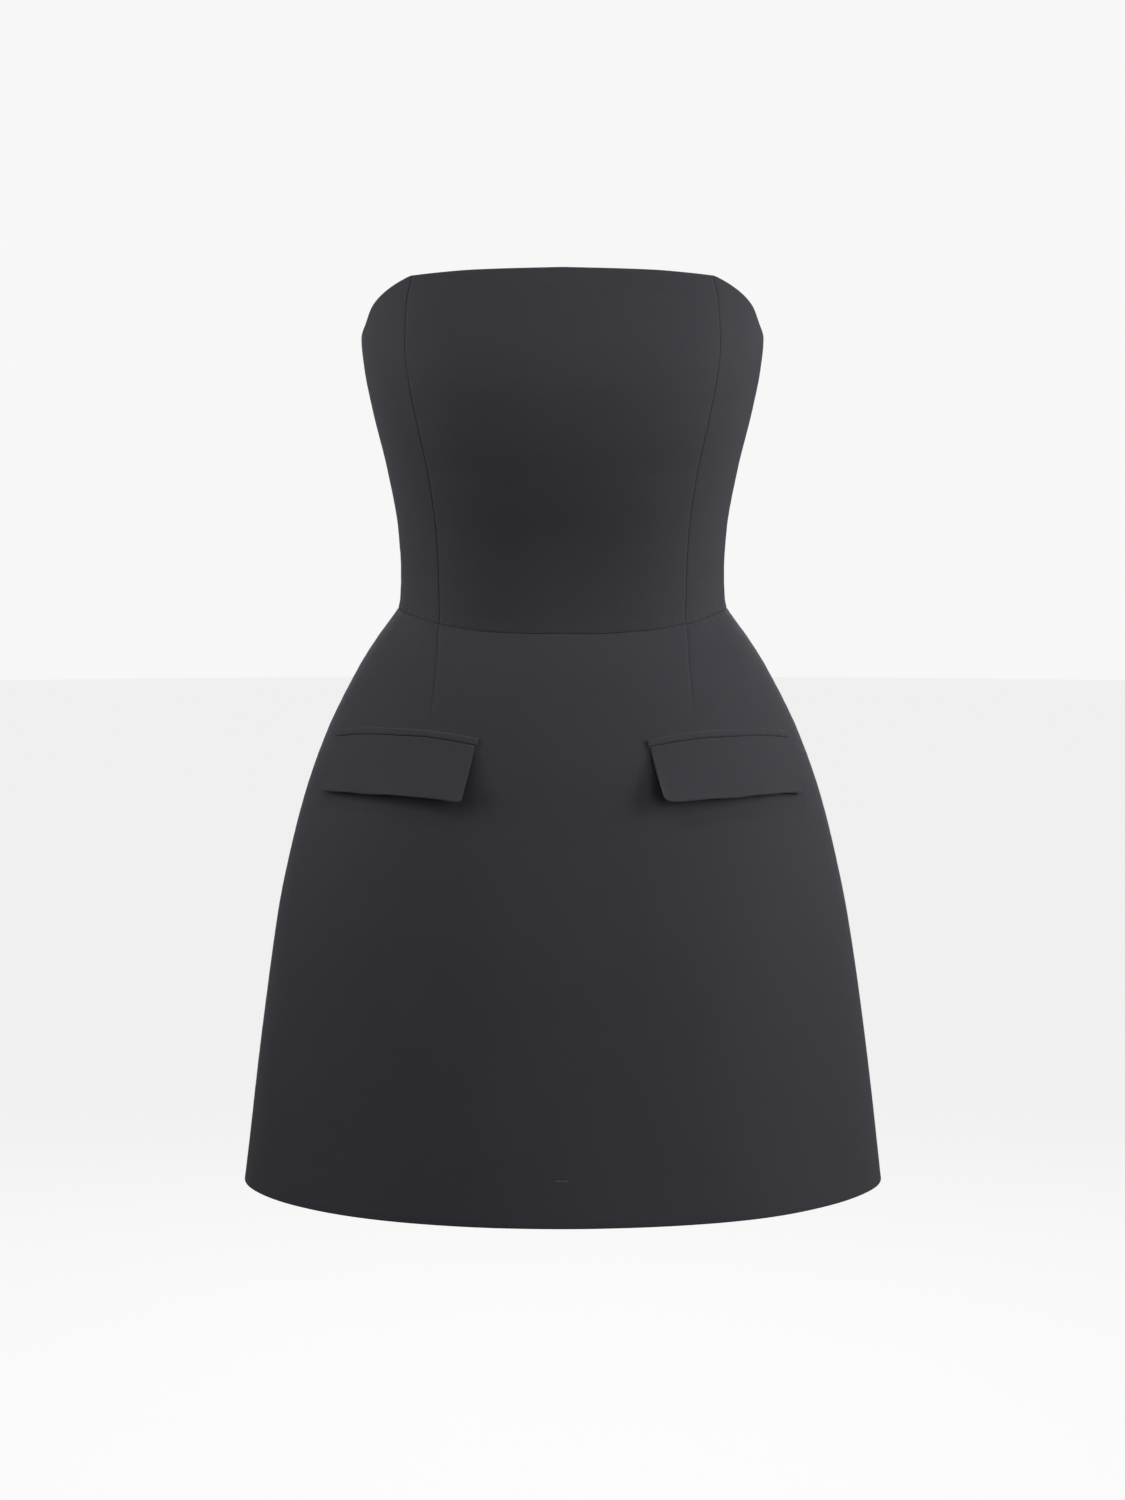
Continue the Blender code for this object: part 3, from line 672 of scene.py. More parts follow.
    def make(self, name, finish="charcoal_suiting"):
        sizes = self.sizes
        height = waist_height(self.angle) + self.rise
        way = outward(self.angle, self.rise)
        relief = fold_relief(self.angle, height, self.rise, self.folds, sizes.fold_strength)
        relief += self.dart_relief() + self.seam_relief(height)
        drop = np.maximum(
            rolled(np.abs(self.from_seam(self.start)), sizes.seam_roll),
            rolled(np.abs(self.from_seam(self.end)), sizes.seam_roll))
        drop = np.maximum(drop, rolled(self.below, self.low_roll))
        drop = np.maximum(drop, rolled(self.above, self.high_roll))
        turned = self.turned_share()
        depth = sizes.cloth * (1 + turned)
        depth = np.where(np.abs(self.angle) > 170, np.minimum(depth, CLOTH_DEPTH_AT_ZIP - 0.00005), depth)
        surface = cloth_point(self.angle, self.rise)
        outer = surface + way * (relief - drop)[..., None]
        inner = surface + way * (relief - np.maximum(depth - drop * 0.5, drop + 0.0003))[..., None]
        return shell(name, outer, inner, finish, turned)


def bodice_span(angle):
    """Lowest and highest rise of the bodice at these angles."""
    half_gap = bpy.context.scene.dress_sizes.seam_gap / 2
    waist = waist_wander(angle)
    return waist + half_gap, top_edge(np.abs(angle)) - waist_height(angle)


def skirt_span(angle):
    half_gap = bpy.context.scene.dress_sizes.seam_gap / 2
    return hem_edge(np.abs(angle)) - waist_height(angle), waist_wander(angle) - half_gap


def waist_wander(angle):
    """The waist seam isn't quite even, least of all towards the wearer's left."""
    wave = 0.4 * np.sin(angle * 0.31 + 0.6) + 0.3 * np.sin(angle * 0.173 + 2.0)
    more = 1 + 1.8 * np.exp(-(((angle - 52) / 16) ** 2))
    return 0.00022 * wave * more


def back_opening(rise):
    """Half of the gap at centre back: a seam's up to the slider, and open from there to the top."""
    half_gap = bpy.context.scene.dress_sizes.seam_gap / 2
    below_top = top_edge(180.0) - (waist_height(180.0) + rise)
    share = ease((SLIDER_DROP + SLIDER_HALF_LENGTH + OPENING_TAPER - below_top) / OPENING_TAPER)
    return half_gap + (OPEN_HALF_GAP - half_gap) * share


def back_edge(rise):
    near = steady(179.5)(rise)
    return 180 - back_opening(rise) * degrees_per_metre(near, rise)


def hold(piece, body, *nodes, slot="cloth"):
    """Makes a piece ride on its body in place of its solids."""
    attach(piece, body)
    if nodes:
        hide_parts(*nodes)
    return piece


def declare_cut(piece, across_turned, along_turned):
    """Works out the flat cut: the cloth's own width and length along its threads, and what is turned in. The
    result is not used.
    """
    layer = piece.data.uv_layers["threads"].uv
    places = np.empty(len(layer) * 2, dtype=np.float32)
    layer.foreach_get("vector", places)
    width, length = (float(x) for x in np.ptp(places.reshape(-1, 2), axis=0))
    area = cloth_area(piece) + length * across_turned + width * along_turned
    width, length = width + across_turned, length + along_turned
    area = min(area, width * length)


def make_panel(name, cut):
    piece = hold(cut.make(name + "_cloth"), "dress", name)
    declare_cut(piece, cut.start_turned + cut.end_turned, cut.low_turned + cut.high_turned)


class DRESS_OT_bodice(Operator):
    """Make the bodice's front, side fronts and backs."""

    bl_idname = "dress.bodice"
    bl_label = "Bodice panels"

    def execute(self, context):
        sizes = context.scene.dress_sizes
        half_gap, inside = sizes.seam_gap / 2, sizes.allowance
        rolls = (sizes.seam_roll, sizes.edge_roll)
        tight = half_gap * TIGHT_SEAM
        centre_end, centre_end_right = beside(princess_seam, -tight), beside(princess_seam, -half_gap)
        side_start, side_start_right = beside(princess_seam, tight), beside(princess_seam, half_gap)
        side_end = beside(steady(90.0), -half_gap)
        back_start = beside(steady(90.0), half_gap)
        dart = (back_dart, 0.0, BACK_BODICE_DART_END)
        mirrored_dart = (mirrored(back_dart), 0.0, BACK_BODICE_DART_END)
        cuts = (
            ("bodice_front", mirrored(centre_end_right), centre_end, ()),
            ("bodice_side_front_left", side_start, side_end, ()),
            ("bodice_side_front_right", mirrored(side_end), mirrored(side_start_right), ()),
            ("bodice_back_left", back_start, back_edge, (dart,)),
            ("bodice_back_right", mirrored(back_edge), mirrored(back_start), (mirrored_dart,)),
        )
        for name, start, end, darts in cuts:
            turned = (inside, inside, inside, sizes.top_turn)
            make_panel(name, PanelCut(
                sizes, start, end, bodice_span, sizes.bodice_grid, darts, turned, rolls, BODICE_DRAGS))
        return {"FINISHED"}


class DRESS_OT_skirt(Operator):
    """Make the skirt's front, with its two darts, and its two backs."""

    bl_idname = "dress.skirt"
    bl_label = "Skirt panels"

    def execute(self, context):
        sizes = context.scene.dress_sizes
        half_gap, inside = sizes.seam_gap / 2, sizes.allowance
        rolls = (sizes.edge_roll, sizes.seam_roll)
        front_end = beside(steady(90.0), -half_gap)
        back_start = beside(steady(90.0), half_gap)
        front_darts = ((mirrored(front_dart), FRONT_DART_END, 0.0), (front_dart, FRONT_DART_END, 0.0))
        dart = (back_dart, BACK_SKIRT_DART_END, 0.0)
        mirrored_dart = (mirrored(back_dart), BACK_SKIRT_DART_END, 0.0)
        cuts = (
            ("skirt_front", mirrored(front_end), front_end, front_darts),
            ("skirt_back_left", back_start, back_edge, (dart,)),
            ("skirt_back_right", mirrored(back_edge), mirrored(back_start), (mirrored_dart,)),
        )
        for name, start, end, darts in cuts:
            turned = (inside, inside, sizes.hem_turn, inside)
            folds = SKIRT_FOLDS + HIP_DRAGS
            make_panel(name, PanelCut(
                sizes, start, end, skirt_span, sizes.skirt_grid, darts, turned, rolls, folds))
        return {"FINISHED"}


def even(low, high, spacing):
    """Evenly spaced values between two, without the ends."""
    count = max(2, int(math.ceil((high - low) / spacing)))
    return [low + (high - low) * number / count for number in range(1, count)]


def rim_places(length, roll, spacing):
    """Distances along a strip, close together on the roll at each of its ends."""
    near = [step for step in rim_steps(roll, 0.0, spacing) if step < 0.35 * length]
    far = [length - step for step in reversed(near)]
    return np.array(near + even(near[-1], length - near[-1], spacing) + far)


class FlapCut:
    """A pocket flap of two pressed layers. It is sewn in under the welt and stands off below."""

    def __init__(self, sizes, side, drop, inner_corner, outer_corner):
        self.side, self.drop = side, drop
        self.inner_corner, self.outer_corner = inner_corner, outer_corner
        ends = np.array([FLAP_INNER_ANGLE, FLAP_OUTER_ANGLE])
        corners = cloth_point(ends, pocket_line(ends) - waist_height(ends))
        self.width = float(np.linalg.norm(corners[1] - corners[0]))
        middle = np.array([45.0])
        self.length = float((pocket_line(middle) - flap_lower_edge(middle))[0])
        roll = FLAP_THICKNESS / 2
        across = rim_places(self.width, roll, sizes.flap_grid)
        down = self.length - rim_places(self.length, roll, sizes.flap_grid)
        self.across, self.down = np.meshgrid(across / self.width, np.clip(down / self.length, 0, 1))

    def corner_cut(self, distance, radius):
        """How much a rounded lower corner takes off, this far from the flap's end."""
        short = np.clip(radius - distance, 0.0, radius)
        return radius - np.sqrt(radius**2 - short**2)

    def place(self):
        """Angle and rise of each point, with the lower corners rounded."""
        across, down = self.across, self.down
        inner = FLAP_INNER_ANGLE + FLAP_INNER_LEAN * down
        outer = FLAP_OUTER_ANGLE + FLAP_OUTER_LEAN * down
        angle = inner + (outer - inner) * across
        cut_off = self.corner_cut(across * self.width, self.inner_corner)
        cut_off = cut_off + self.corner_cut((1 - across) * self.width, self.outer_corner)
        uneven = 0.00035 * np.sin(across * 9.0 + self.side) + 0.0002 * np.sin(across * 23.0 + 2 * self.side)
        top = pocket_line(angle) - 0.0003 - self.drop
        low = flap_lower_edge(angle) - self.drop + cut_off + uneven
        return angle, top + (low - top) * down - waist_height(angle)

    def stand(self):
        extra = FLAP_STAND_INNER - FLAP_STAND_OUTER
        lower_edge = FLAP_STAND_OUTER + extra * (1 - self.across) ** FLAP_STAND_FALL
        lower_edge = lower_edge + 0.0005 * np.sin(self.across * 11.0 + 1.3 * self.side)
        return 0.0003 + lower_edge * self.down**FLAP_STAND_CURL

    def relief(self, rim):
        """The seam turned in along the edges shows through as a faint step, with a lump in each corner."""
        step = FLAP_SEAM_STEP * ease((FLAP_SEAM_INSIDE - rim) / 0.0012)
        from_corner = np.hypot(self.across * self.width - 0.004, (1 - self.down) * self.length - 0.004)
        other_corner = np.hypot((1 - self.across) * self.width - 0.004, (1 - self.down) * self.length - 0.004)
        lumps = np.exp(-((from_corner / 0.0028) ** 2)) + np.exp(-((other_corner / 0.0028) ** 2))
        return step + FLAP_CORNER_LUMP * lumps

    def make(self, name):
        angle, rise = self.place()
        signed = angle * self.side
        way = outward(signed, rise)
        base = cloth_point(signed, rise) + way * self.stand()[..., None]
        rim = np.minimum(self.across, 1 - self.across) * self.width
        rim = np.minimum(rim, np.minimum(self.down, 1 - self.down) * self.length)
        roll = FLAP_THICKNESS / 2
        drop = 0.85 * rolled(rim, roll)
        outer = base + way * (FLAP_THICKNESS + self.relief(rim) - drop)[..., None]
        inner = base + way * drop[..., None]
        if self.side < 0:
            outer, inner = outer[:, ::-1], inner[:, ::-1]
        pressed = ease((FLAP_SEAM_INSIDE + 0.0006 - rim) / 0.0012)
        return shell(name, outer, inner, "charcoal_suiting", pressed)


# Wearer's side, how much lower the pocket sits, radius of the flap's inner and outer lower corners
POCKETS = {"left": (1, 0.0011, 0.0060, 0.0050), "right": (-1, 0.0, 0.0024, 0.0050)}


class DRESS_OT_pocket_flaps(Operator):
    """Make the two pocket flaps."""

    bl_idname = "dress.pocket_flaps"
    bl_label = "Pocket flaps"

    def execute(self, context):
        sizes = context.scene.dress_sizes
        for word, (side, drop, inner_corner, outer_corner) in POCKETS.items():
            node = f"pocket_flap_{word}"
            cut = FlapCut(sizes, side, drop, inner_corner, outer_corner)
            piece = hold(cut.make(node + "_cloth"), "dress", node)
            declare_cut(piece, 0.0, 0.0)
        return {"FINISHED"}


class DRESS_OT_pocket_welts(Operator):
    """Make the folded strip above each flap, and the dark thread tack at its inner end, which is also painted
    shade for the shaded notch at the end of the slit.
    """

    bl_idname = "dress.pocket_welts"
    bl_label = "Pocket welts"

    def execute(self, context):
        sizes = context.scene.dress_sizes
        roll = WELT_THICKNESS / 2
        ends = np.array([WELT_INNER_ANGLE, WELT_OUTER_ANGLE])
        corners = cloth_point(ends, pocket_line(ends) - waist_height(ends))
        width = float(np.linalg.norm(corners[1] - corners[0]))
        along = rim_places(width, roll * 0.6, sizes.flap_grid)
        up = rim_places(WELT_HEIGHT, roll, 0.0006)
        across, height = np.meshgrid(along, up)
        for word, (side, drop, _, _) in POCKETS.items():
            angle = WELT_INNER_ANGLE + (WELT_OUTER_ANGLE - WELT_INNER_ANGLE) * across / width
            rise = pocket_line(angle) - drop + height - waist_height(angle)
            signed = angle * side
            way = outward(signed, rise)
            base = cloth_point(signed, rise) + way * sizes.seam_gap
            edge = rolled(np.minimum(height, WELT_HEIGHT - height), roll)
            end = rolled(np.minimum(across, width - across), roll * 0.6)
            fall = 0.9 * np.maximum(edge, end)
            uneven = 0.00012 * pucker(across, 0.9 * side)
            outer = base + way * (WELT_THICKNESS - fall + uneven)[..., None]
            inner = base + way * (0.12 * fall)[..., None]
            if side < 0:
                outer, inner = outer[:, ::-1], inner[:, ::-1]
            node = f"pocket_welt_{word}"
            piece = hold(shell(node + "_cloth", outer, inner, "charcoal_suiting"), "dress", node)
            self.tack(f"pocket_tack_{word}", side, drop)
        return {"FINISHED"}

    def tack(self, name, side, drop):
        """A short bar of dark thread that closes the pocket's inner end. It is thick enough to stand in as
        painted shade for the shaded notch there.
        """
        angle = np.full(7, WELT_INNER_ANGLE + 0.25) * side
        height = pocket_line(np.abs(angle)) - drop - np.linspace(-0.0004, TACK_AND_SHADE_LENGTH, 7)
        rise = height - waist_height(angle)
        line = cloth_point(angle, rise) + outward(angle, rise) * 0.0003
        # Painted shade: a thick dark thread lies where the end of the pocket slit is shaded, in place of a
        # groove too fine for the skirt's grid.
        hold(tubes(name, [line], POCKET_TACK_AND_SHADE_THREAD, "charcoal_thread"), "dress")


def tubes(name, lines, radius, finish, sides=6):
    """One mesh of round threads along lines of points, each closed at both ends."""
    curve = bpy.data.curves.new(name, "CURVE")
    curve.dimensions = "3D"
    curve.bevel_depth = radius
    curve.bevel_resolution = max(0, sides // 2 - 2)
    curve.use_fill_caps = True
    for line in lines:
        spline = curve.splines.new("POLY")
        spline.points.add(len(line) - 1)
        spline.points.foreach_set("co", np.insert(np.asarray(line), 3, 1.0, axis=1).ravel())
    return finished(name, curve_mesh(name, curve), finish)


def plate(name, outlines, thickness, rim=0.00015):
    """A plate cut to flat outlines, of which the second and later ones are holes, with softened edges."""
    curve = bpy.data.curves.new(name, "CURVE")
    curve.dimensions = "2D"
    curve.fill_mode = "BOTH"
    curve.extrude = thickness / 2 - rim
    curve.bevel_depth = rim
    curve.bevel_resolution = 1
    curve.offset = -rim
    for outline in outlines:
        spline = curve.splines.new("POLY")
        spline.points.add(len(outline) - 1)
        spline.use_cyclic_u = True
        for point, (across, up) in zip(spline.points, outline):
            point.co = (across, up, 0.0, 1.0)
    return curve_mesh(name, curve)


def curve_mesh(name, curve):
    """The solid of a curve as a mesh, with its caps welded on."""
    drawn = bpy.data.objects.new(name + "_line", curve)
    bpy.context.scene.collection.objects.link(drawn)
    bpy.context.view_layer.update()
    mesh = bpy.data.meshes.new_from_object(drawn.evaluated_get(bpy.context.evaluated_depsgraph_get()))
    bpy.data.objects.remove(drawn)
    bpy.data.curves.remove(curve)
    mesh.name = name
    weld = bmesh.new()
    weld.from_mesh(mesh)
    bmesh.ops.remove_doubles(weld, verts=weld.verts, dist=0.000001)
    weld.to_mesh(mesh)
    weld.free()
    return mesh


def assembled(name, parts, finish):
    """One piece from several meshes, each given with its place."""
    whole = bmesh.new()
    for mesh, place in parts:
        mesh.transform(place)
        whole.from_mesh(mesh)
        bpy.data.meshes.remove(mesh)
    bmesh.ops.recalc_face_normals(whole, faces=whole.faces)
    mesh = bpy.data.meshes.new(name)
    whole.to_mesh(mesh)
    whole.free()
    return finished(name, mesh, finish)


def finished(name, mesh, finish):
    """A smooth-shaded piece of this mesh in one finish."""
    mesh.shade_smooth()
    mesh.set_sharp_from_angle(angle=math.radians(50))
    mesh.materials.clear()
    mesh.materials.append(bpy.data.materials[finish])
    piece = bpy.data.objects.new(name, mesh)
    bpy.context.scene.collection.objects.link(piece)
    return piece


def arc(centre, radius, start, end, steps):
    """Points along part of a circle, as pairs, from one angle to another."""
    turns = np.radians(np.linspace(start, end, steps + 1))
    return [(centre[0] + radius * math.cos(turn), centre[1] + radius * math.sin(turn)) for turn in turns]


def rounded_box(half_width, half_height, radius, narrower=0.0):
    """A rectangle with round corners, as pairs, whose lower end may be narrower."""
    corners = ((1, 1, 0), (-1, 1, 90), (-1, -1, 180), (1, -1, 270))
    outline = []
    for side, level, start in corners:
        across = half_width - radius - (narrower if level < 0 else 0.0)
        outline += arc((side * across, level * (half_height - radius)), radius, start, start + 90, 4)
    return outline


def rise_at_back(height):
    return height - float(waist_height(180.0))


def slider_place():
    """The point of the back's outer surface behind which the slider sits."""
    height = float(top_edge(180.0)) - SLIDER_DROP
    return Vector(cloth_point(np.array([180.0]), np.array([rise_at_back(height)]))[0])


def behind_back(offset, rise, depth):
    """Points inside the centre back, this far to the wearer's left of it and this deep in."""
    near = steady(179.5)(rise)
    angle = 180 - offset * degrees_per_metre(near, rise)
    return cloth_point(angle, rise) - outward(angle, rise) * np.asarray(depth)[..., None]


class DRESS_OT_zip_tapes(Operator):
    """Make the two tapes inside centre back and the coil along each."""

    bl_idname = "dress.zip_tapes"
    bl_label = "Zip tapes"

    def execute(self, context):
        low = rise_at_back(ZIP_END_HEIGHT)
        high = rise_at_back(float(top_edge(180.0))) - TAPE_TOP_DROP
        rises = np.linspace(low, high, int((high - low) / TAPE_GRID) + 1)
        offsets = np.array([0.0, 0.0004, 0.0023, 0.0027, 0.0055, 0.0083, TAPE_WIDTH - 0.0004, TAPE_WIDTH])
        ridge = np.array([0.0, 0.0, 0.0, 0.0, 0.0, 0.0, 0.0, 0.0001])
        across, rise = np.meshgrid(offsets, rises)
        offset = across + back_opening(rise)
        outer = behind_back(offset, rise, np.full_like(rise, CLOTH_DEPTH_AT_ZIP) + ridge)
        inner = behind_back(offset, rise, np.full_like(rise, CLOTH_DEPTH_AT_ZIP + TAPE_THICKNESS) - ridge)
        for side, word in ((1, "left"), (-1, "right")):
            sign = np.array([side, 1.0, 1.0])
            near, far = outer * sign, inner * sign
            if side > 0:
                near, far = near[:, ::-1], far[:, ::-1]
            node = f"zip_tape_{word}"
            piece = hold(shell(node + "_woven", near, far, "zip_tape"), "dress", node, slot="zip_tape")
            length = float(np.linalg.norm(np.diff(near[:, 0], axis=0), axis=-1).sum())
            self.coil(f"zip_coil_{word}", side, low + 0.003, high - 0.002)
        return {"FINISHED"}

    def coil(self, name, side, low, high):
        """The nylon coil's loops, sewn to the tape. The slider hides those inside it."""
        half_slider = SLIDER_HALF_LENGTH + 0.0004
        slider = rise_at_back(float(top_edge(180.0)) - SLIDER_DROP)
        rises = np.arange(low, high, COIL_PITCH) + (COIL_PITCH / 2 if side > 0 else 0.0)
        rises = rises[np.abs(rises - slider) > half_slider]
        turns = np.radians(np.linspace(0, 330, 10))
        lines = []
        for rise in rises:
            reach = float(back_opening(rise))
            offset = reach + 0.0009 + 0.0013 * np.cos(turns)
            depth = CLOTH_DEPTH_AT_ZIP + TAPE_THICKNESS + COIL_RADIUS * 0.62 * (1 + np.sin(turns))
            climb = rise + COIL_PITCH * 0.30 * (turns / (2 * math.pi) - 0.5)
            lines.append(behind_back(offset, climb, depth) * np.array([side, 1.0, 1.0]))
        hold(tubes(name, lines, COIL_WIRE / 2, "zip_coil", 4), "dress", slot="zip_tape")


class DRESS_OT_zip_slider(Operator):
    """Make the slider and its hanging pull."""

    bl_idname = "dress.zip_slider"
    bl_label = "Zip slider and pull"

    def execute(self, context):
        place = slider_place()
        facing_back = Matrix.Rotation(math.radians(90), 4, "X")
        edge_on = Matrix.Rotation(math.radians(90), 4, "Z") @ facing_back
        body_middle = -SLIDER_BODY_DEPTH - SLIDER_BODY_THICKNESS / 2
        body = plate("body", [rounded_box(SLIDER_HALF_WIDTH, SLIDER_HALF_LENGTH, 0.0008, 0.0005)],
                     SLIDER_BODY_THICKNESS, 0.0003)
        cap = plate("cap", [rounded_box(CAP_HALF_WIDTH, SLIDER_HALF_LENGTH, 0.0007, 0.0002)],
                    CAP_THICKNESS, 0.00025)
        half_neck = SLIDER_HALF_LENGTH - NECK_INSET
        neck = [(body_middle, -half_neck), *arc((EYE_STANDOFF, 0.0), EAR_RADIUS, -90, 75, 12),
                (body_middle, half_neck)]
        eye = arc((EYE_STANDOFF, 0.0), EYE_RADIUS, 0, 342, 19)
        parts = [
            (body, Matrix.Translation(place + Vector((0, body_middle, 0))) @ facing_back),
            (cap, Matrix.Translation(place + Vector((0, CAP_STANDOFF + CAP_THICKNESS / 2, 0))) @ facing_back),
            (plate("neck", [neck, eye], NECK_THICKNESS), Matrix.Translation(place) @ edge_on),
        ]
        for side in (-1, 1):
            rail = plate("rail", [rounded_box(0.0003, SLIDER_HALF_LENGTH - 0.0008, 0.0002)], 0.0006, 0.0001)
            at = place + Vector((side * (SLIDER_HALF_WIDTH - 0.0006), -SLIDER_BODY_DEPTH + 0.0001, 0))
            parts.append((rail, Matrix.Translation(at) @ facing_back))
        slider = assembled("zip_slider_metal", parts, "black_enamel")
        hold(slider, "dress", "zip_slider", slot="zip_metal")
        self.pull(place + Vector((0, EYE_STANDOFF, 0)), facing_back)
        return {"FINISHED"}

    def pull(self, axle, facing_back):
        """A wire loop through the slider's eye, on a flat tab with a raised rim and a round end."""
        narrow, bend, wide = PULL_TAB_TOP_HALF_WIDTH, PULL_LOOP_BEND, PULL_LOOP_HALF_WIDTH
        end_centre = (0.0, PULL_TAB_END_RADIUS - PULL_LOOP_LENGTH - PULL_TAB_LENGTH)
        top = 0.0010 - PULL_LOOP_LENGTH
        tab = [(-narrow, top), *arc(end_centre, PULL_TAB_END_RADIUS, 190, 350, 24), (narrow, top)]
        well_top = top - PULL_WELL_DROP
        well = [(PULL_RIM_WIDTH - narrow, well_top),
                *arc(end_centre, PULL_TAB_END_RADIUS - PULL_RIM_WIDTH, 190, 350, 24),
                (narrow - PULL_RIM_WIDTH, well_top)]
        leg = [(-narrow / 2, -PULL_LOOP_LENGTH), (-wide, -PULL_LOOP_LENGTH * 0.6)]
        leg += arc((bend - wide, -bend), bend, 180, 90, 8)
        route = leg + [(-across, up) for across, up in reversed(leg)]
        wire = bpy.data.curves.new("loop", "CURVE")
        wire.dimensions = "3D"
        wire.bevel_depth = PULL_WIRE_RADIUS
        wire.bevel_resolution = 4
        wire.use_fill_caps = True
        spline = wire.splines.new("POLY")
        spline.points.add(len(route) - 1)
        for point, (across, up) in zip(spline.points, route):
            point.co = (across, up, 0.0, 1.0)
        stands = Matrix.Translation(axle) @ facing_back
        parts = [
            (plate("core", [tab], PULL_TAB_THICKNESS - 0.0006, 0.0002), stands),
            (plate("rim", [tab, well], PULL_TAB_THICKNESS, 0.0002), stands),
            (curve_mesh("loop", wire), stands),
        ]
        hold(assembled("zip_pull_metal", parts, "black_enamel"), "pull", "zip_pull", slot="zip_metal")


class DRESS_OT_seam_threads(Operator):
    """Make the sewing thread that closes the seams between the panels."""

    bl_idname = "dress.seam_threads"
    bl_label = "Seam threads"

    def execute(self, context):
        sizes = context.scene.dress_sizes
        lines = []
        uprights = (
            (princess_seam, bodice_span), (mirrored(princess_seam), bodice_span),
            (steady(90.0), bodice_span), (steady(-90.0), bodice_span),
            (steady(90.0), skirt_span), (steady(-90.0), skirt_span), (steady(180.0), skirt_span),
        )
        for seam, span in uprights:
            low, high = span(seam(np.array([0.0])))
            rise = np.linspace(float(low[0]) + 0.0012, float(high[0]) - 0.0012, 90)
            if span is skirt_span and float(seam(rise)[0]) == 180.0:
                rise = rise[rise < rise_at_back(ZIP_END_HEIGHT) - 0.002]
            elif span is bodice_span:
                angle = seam(rise)
                rise = rise[rise < top_edge(np.abs(angle)) - waist_height(angle) - 0.0015]
            lines.append(self.line(sizes, seam(rise), rise))
        for start, end in ((-178.5, -0.5), (0.5, 178.5)):
            angle = np.linspace(start, end, 160)
            lines.append(self.line(sizes, angle, waist_wander(angle)))
        hold(tubes("seam_threads", lines, SEAM_THREAD, "charcoal_thread", 4), "dress")
        return {"FINISHED"}

    def line(self, sizes, angle, rise):
        """A thread in the middle of a seam's depth, where the panels' folds lie against each other."""
        height = waist_height(angle) + rise
        folds = SKIRT_FOLDS + HIP_DRAGS if rise.mean() < 0 else BODICE_DRAGS
        lift = fold_relief(angle, height, rise, folds, sizes.fold_strength) - sizes.cloth
        return cloth_point(angle, rise) + outward(angle, rise) * lift[:, None]


class DRESS_OT_hem_stitches(Operator):
    """Make the slanting hand stitches inside the hem, and the one pale tack that shows at centre front."""

    bl_idname = "dress.hem_stitches"
    bl_label = "Hem stitches"

    def execute(self, context):
        sizes = context.scene.dress_sizes
        lines = []
        spot = np.linspace(-179.0, 179.0, 5000)
        low = hem_edge(np.abs(spot)) - waist_height(spot)
        places = cloth_point(spot, low)
        along = np.concatenate([[0.0], np.linalg.norm(np.diff(places, axis=0), axis=-1).cumsum()])
        for number in range(int(along[-1] / HEM_STITCH)):
            ends = np.interp([number * HEM_STITCH, (number + 0.62) * HEM_STITCH], along, spot)
            angle = np.linspace(ends[0], ends[1], 4)
            over = sizes.hem_turn + np.array([-0.0020, -0.0005, 0.0012, 0.0026])
            depth = sizes.cloth * np.array([2.05, 2.10, 1.30, 1.05])
            rise = hem_edge(np.abs(angle)) - waist_height(angle) + over
            folds = fold_relief(angle, waist_height(angle) + rise, rise, SKIRT_FOLDS, sizes.fold_strength)
            lines.append(cloth_point(angle, rise) - outward(angle, rise) * (depth - folds)[:, None])
        hold(tubes("hem_hand_stitches", lines, HAND_THREAD, "charcoal_thread", 4), "dress")
        self.tack(sizes)
        return {"FINISHED"}

    def tack(self, sizes):
        middle, up, length = HEM_TACK
        step = np.linspace(-0.5, 0.5, 9)
        lines = []
        for number in range(5):
            share = (number - 2) / 5.2
            near = steady(0.0)(step)
            slant = (middle + length * share + 0.0010 * step) * degrees_per_metre(near, near - 0.41)
            rise = hem_edge(np.abs(slant)) - waist_height(slant) + up + 0.0005 * step
            folds = fold_relief(slant, waist_height(slant) + rise, rise, SKIRT_FOLDS, sizes.fold_strength)
            lift = folds + 0.00008 * np.cos(math.pi * step)
            lines.append(cloth_point(slant, rise) + outward(slant, rise) * lift[:, None])
        hold(tubes("hem_pale_tack", lines, HEM_TACK_THREAD, "pale_thread", 6), "dress")


class DRESS_OT_finishes(Operator):
    """Make the materials of the cloth, the zip and the thread."""

    bl_idname = "dress.finishes"
    bl_label = "Finishes"

    def execute(self, context):
        finish = context.scene.dress_finish
        weave = woven_cloth_group()
        suiting(weave, finish)
        zip_tape(weave, finish)
        black_enamel(finish)
        thread("charcoal_thread", [0.45 * part for part in finish.charcoal])
        thread("pale_thread", finish.thread_pale)
        return {"FINISHED"}


def add_node(tree, kind, place, inputs=None, **settings):
    """Adds a node, sets its options and gives its inputs their values or links."""
    node = tree.nodes.new(kind)
    node.location = place
    for option, value in settings.items():
        setattr(node, option, value)
    for key, value in (inputs or {}).items():
        if isinstance(value, bpy.types.NodeSocket):
            tree.links.new(value, node.inputs[key])
        else:
            node.inputs[key].default_value = value
    return node


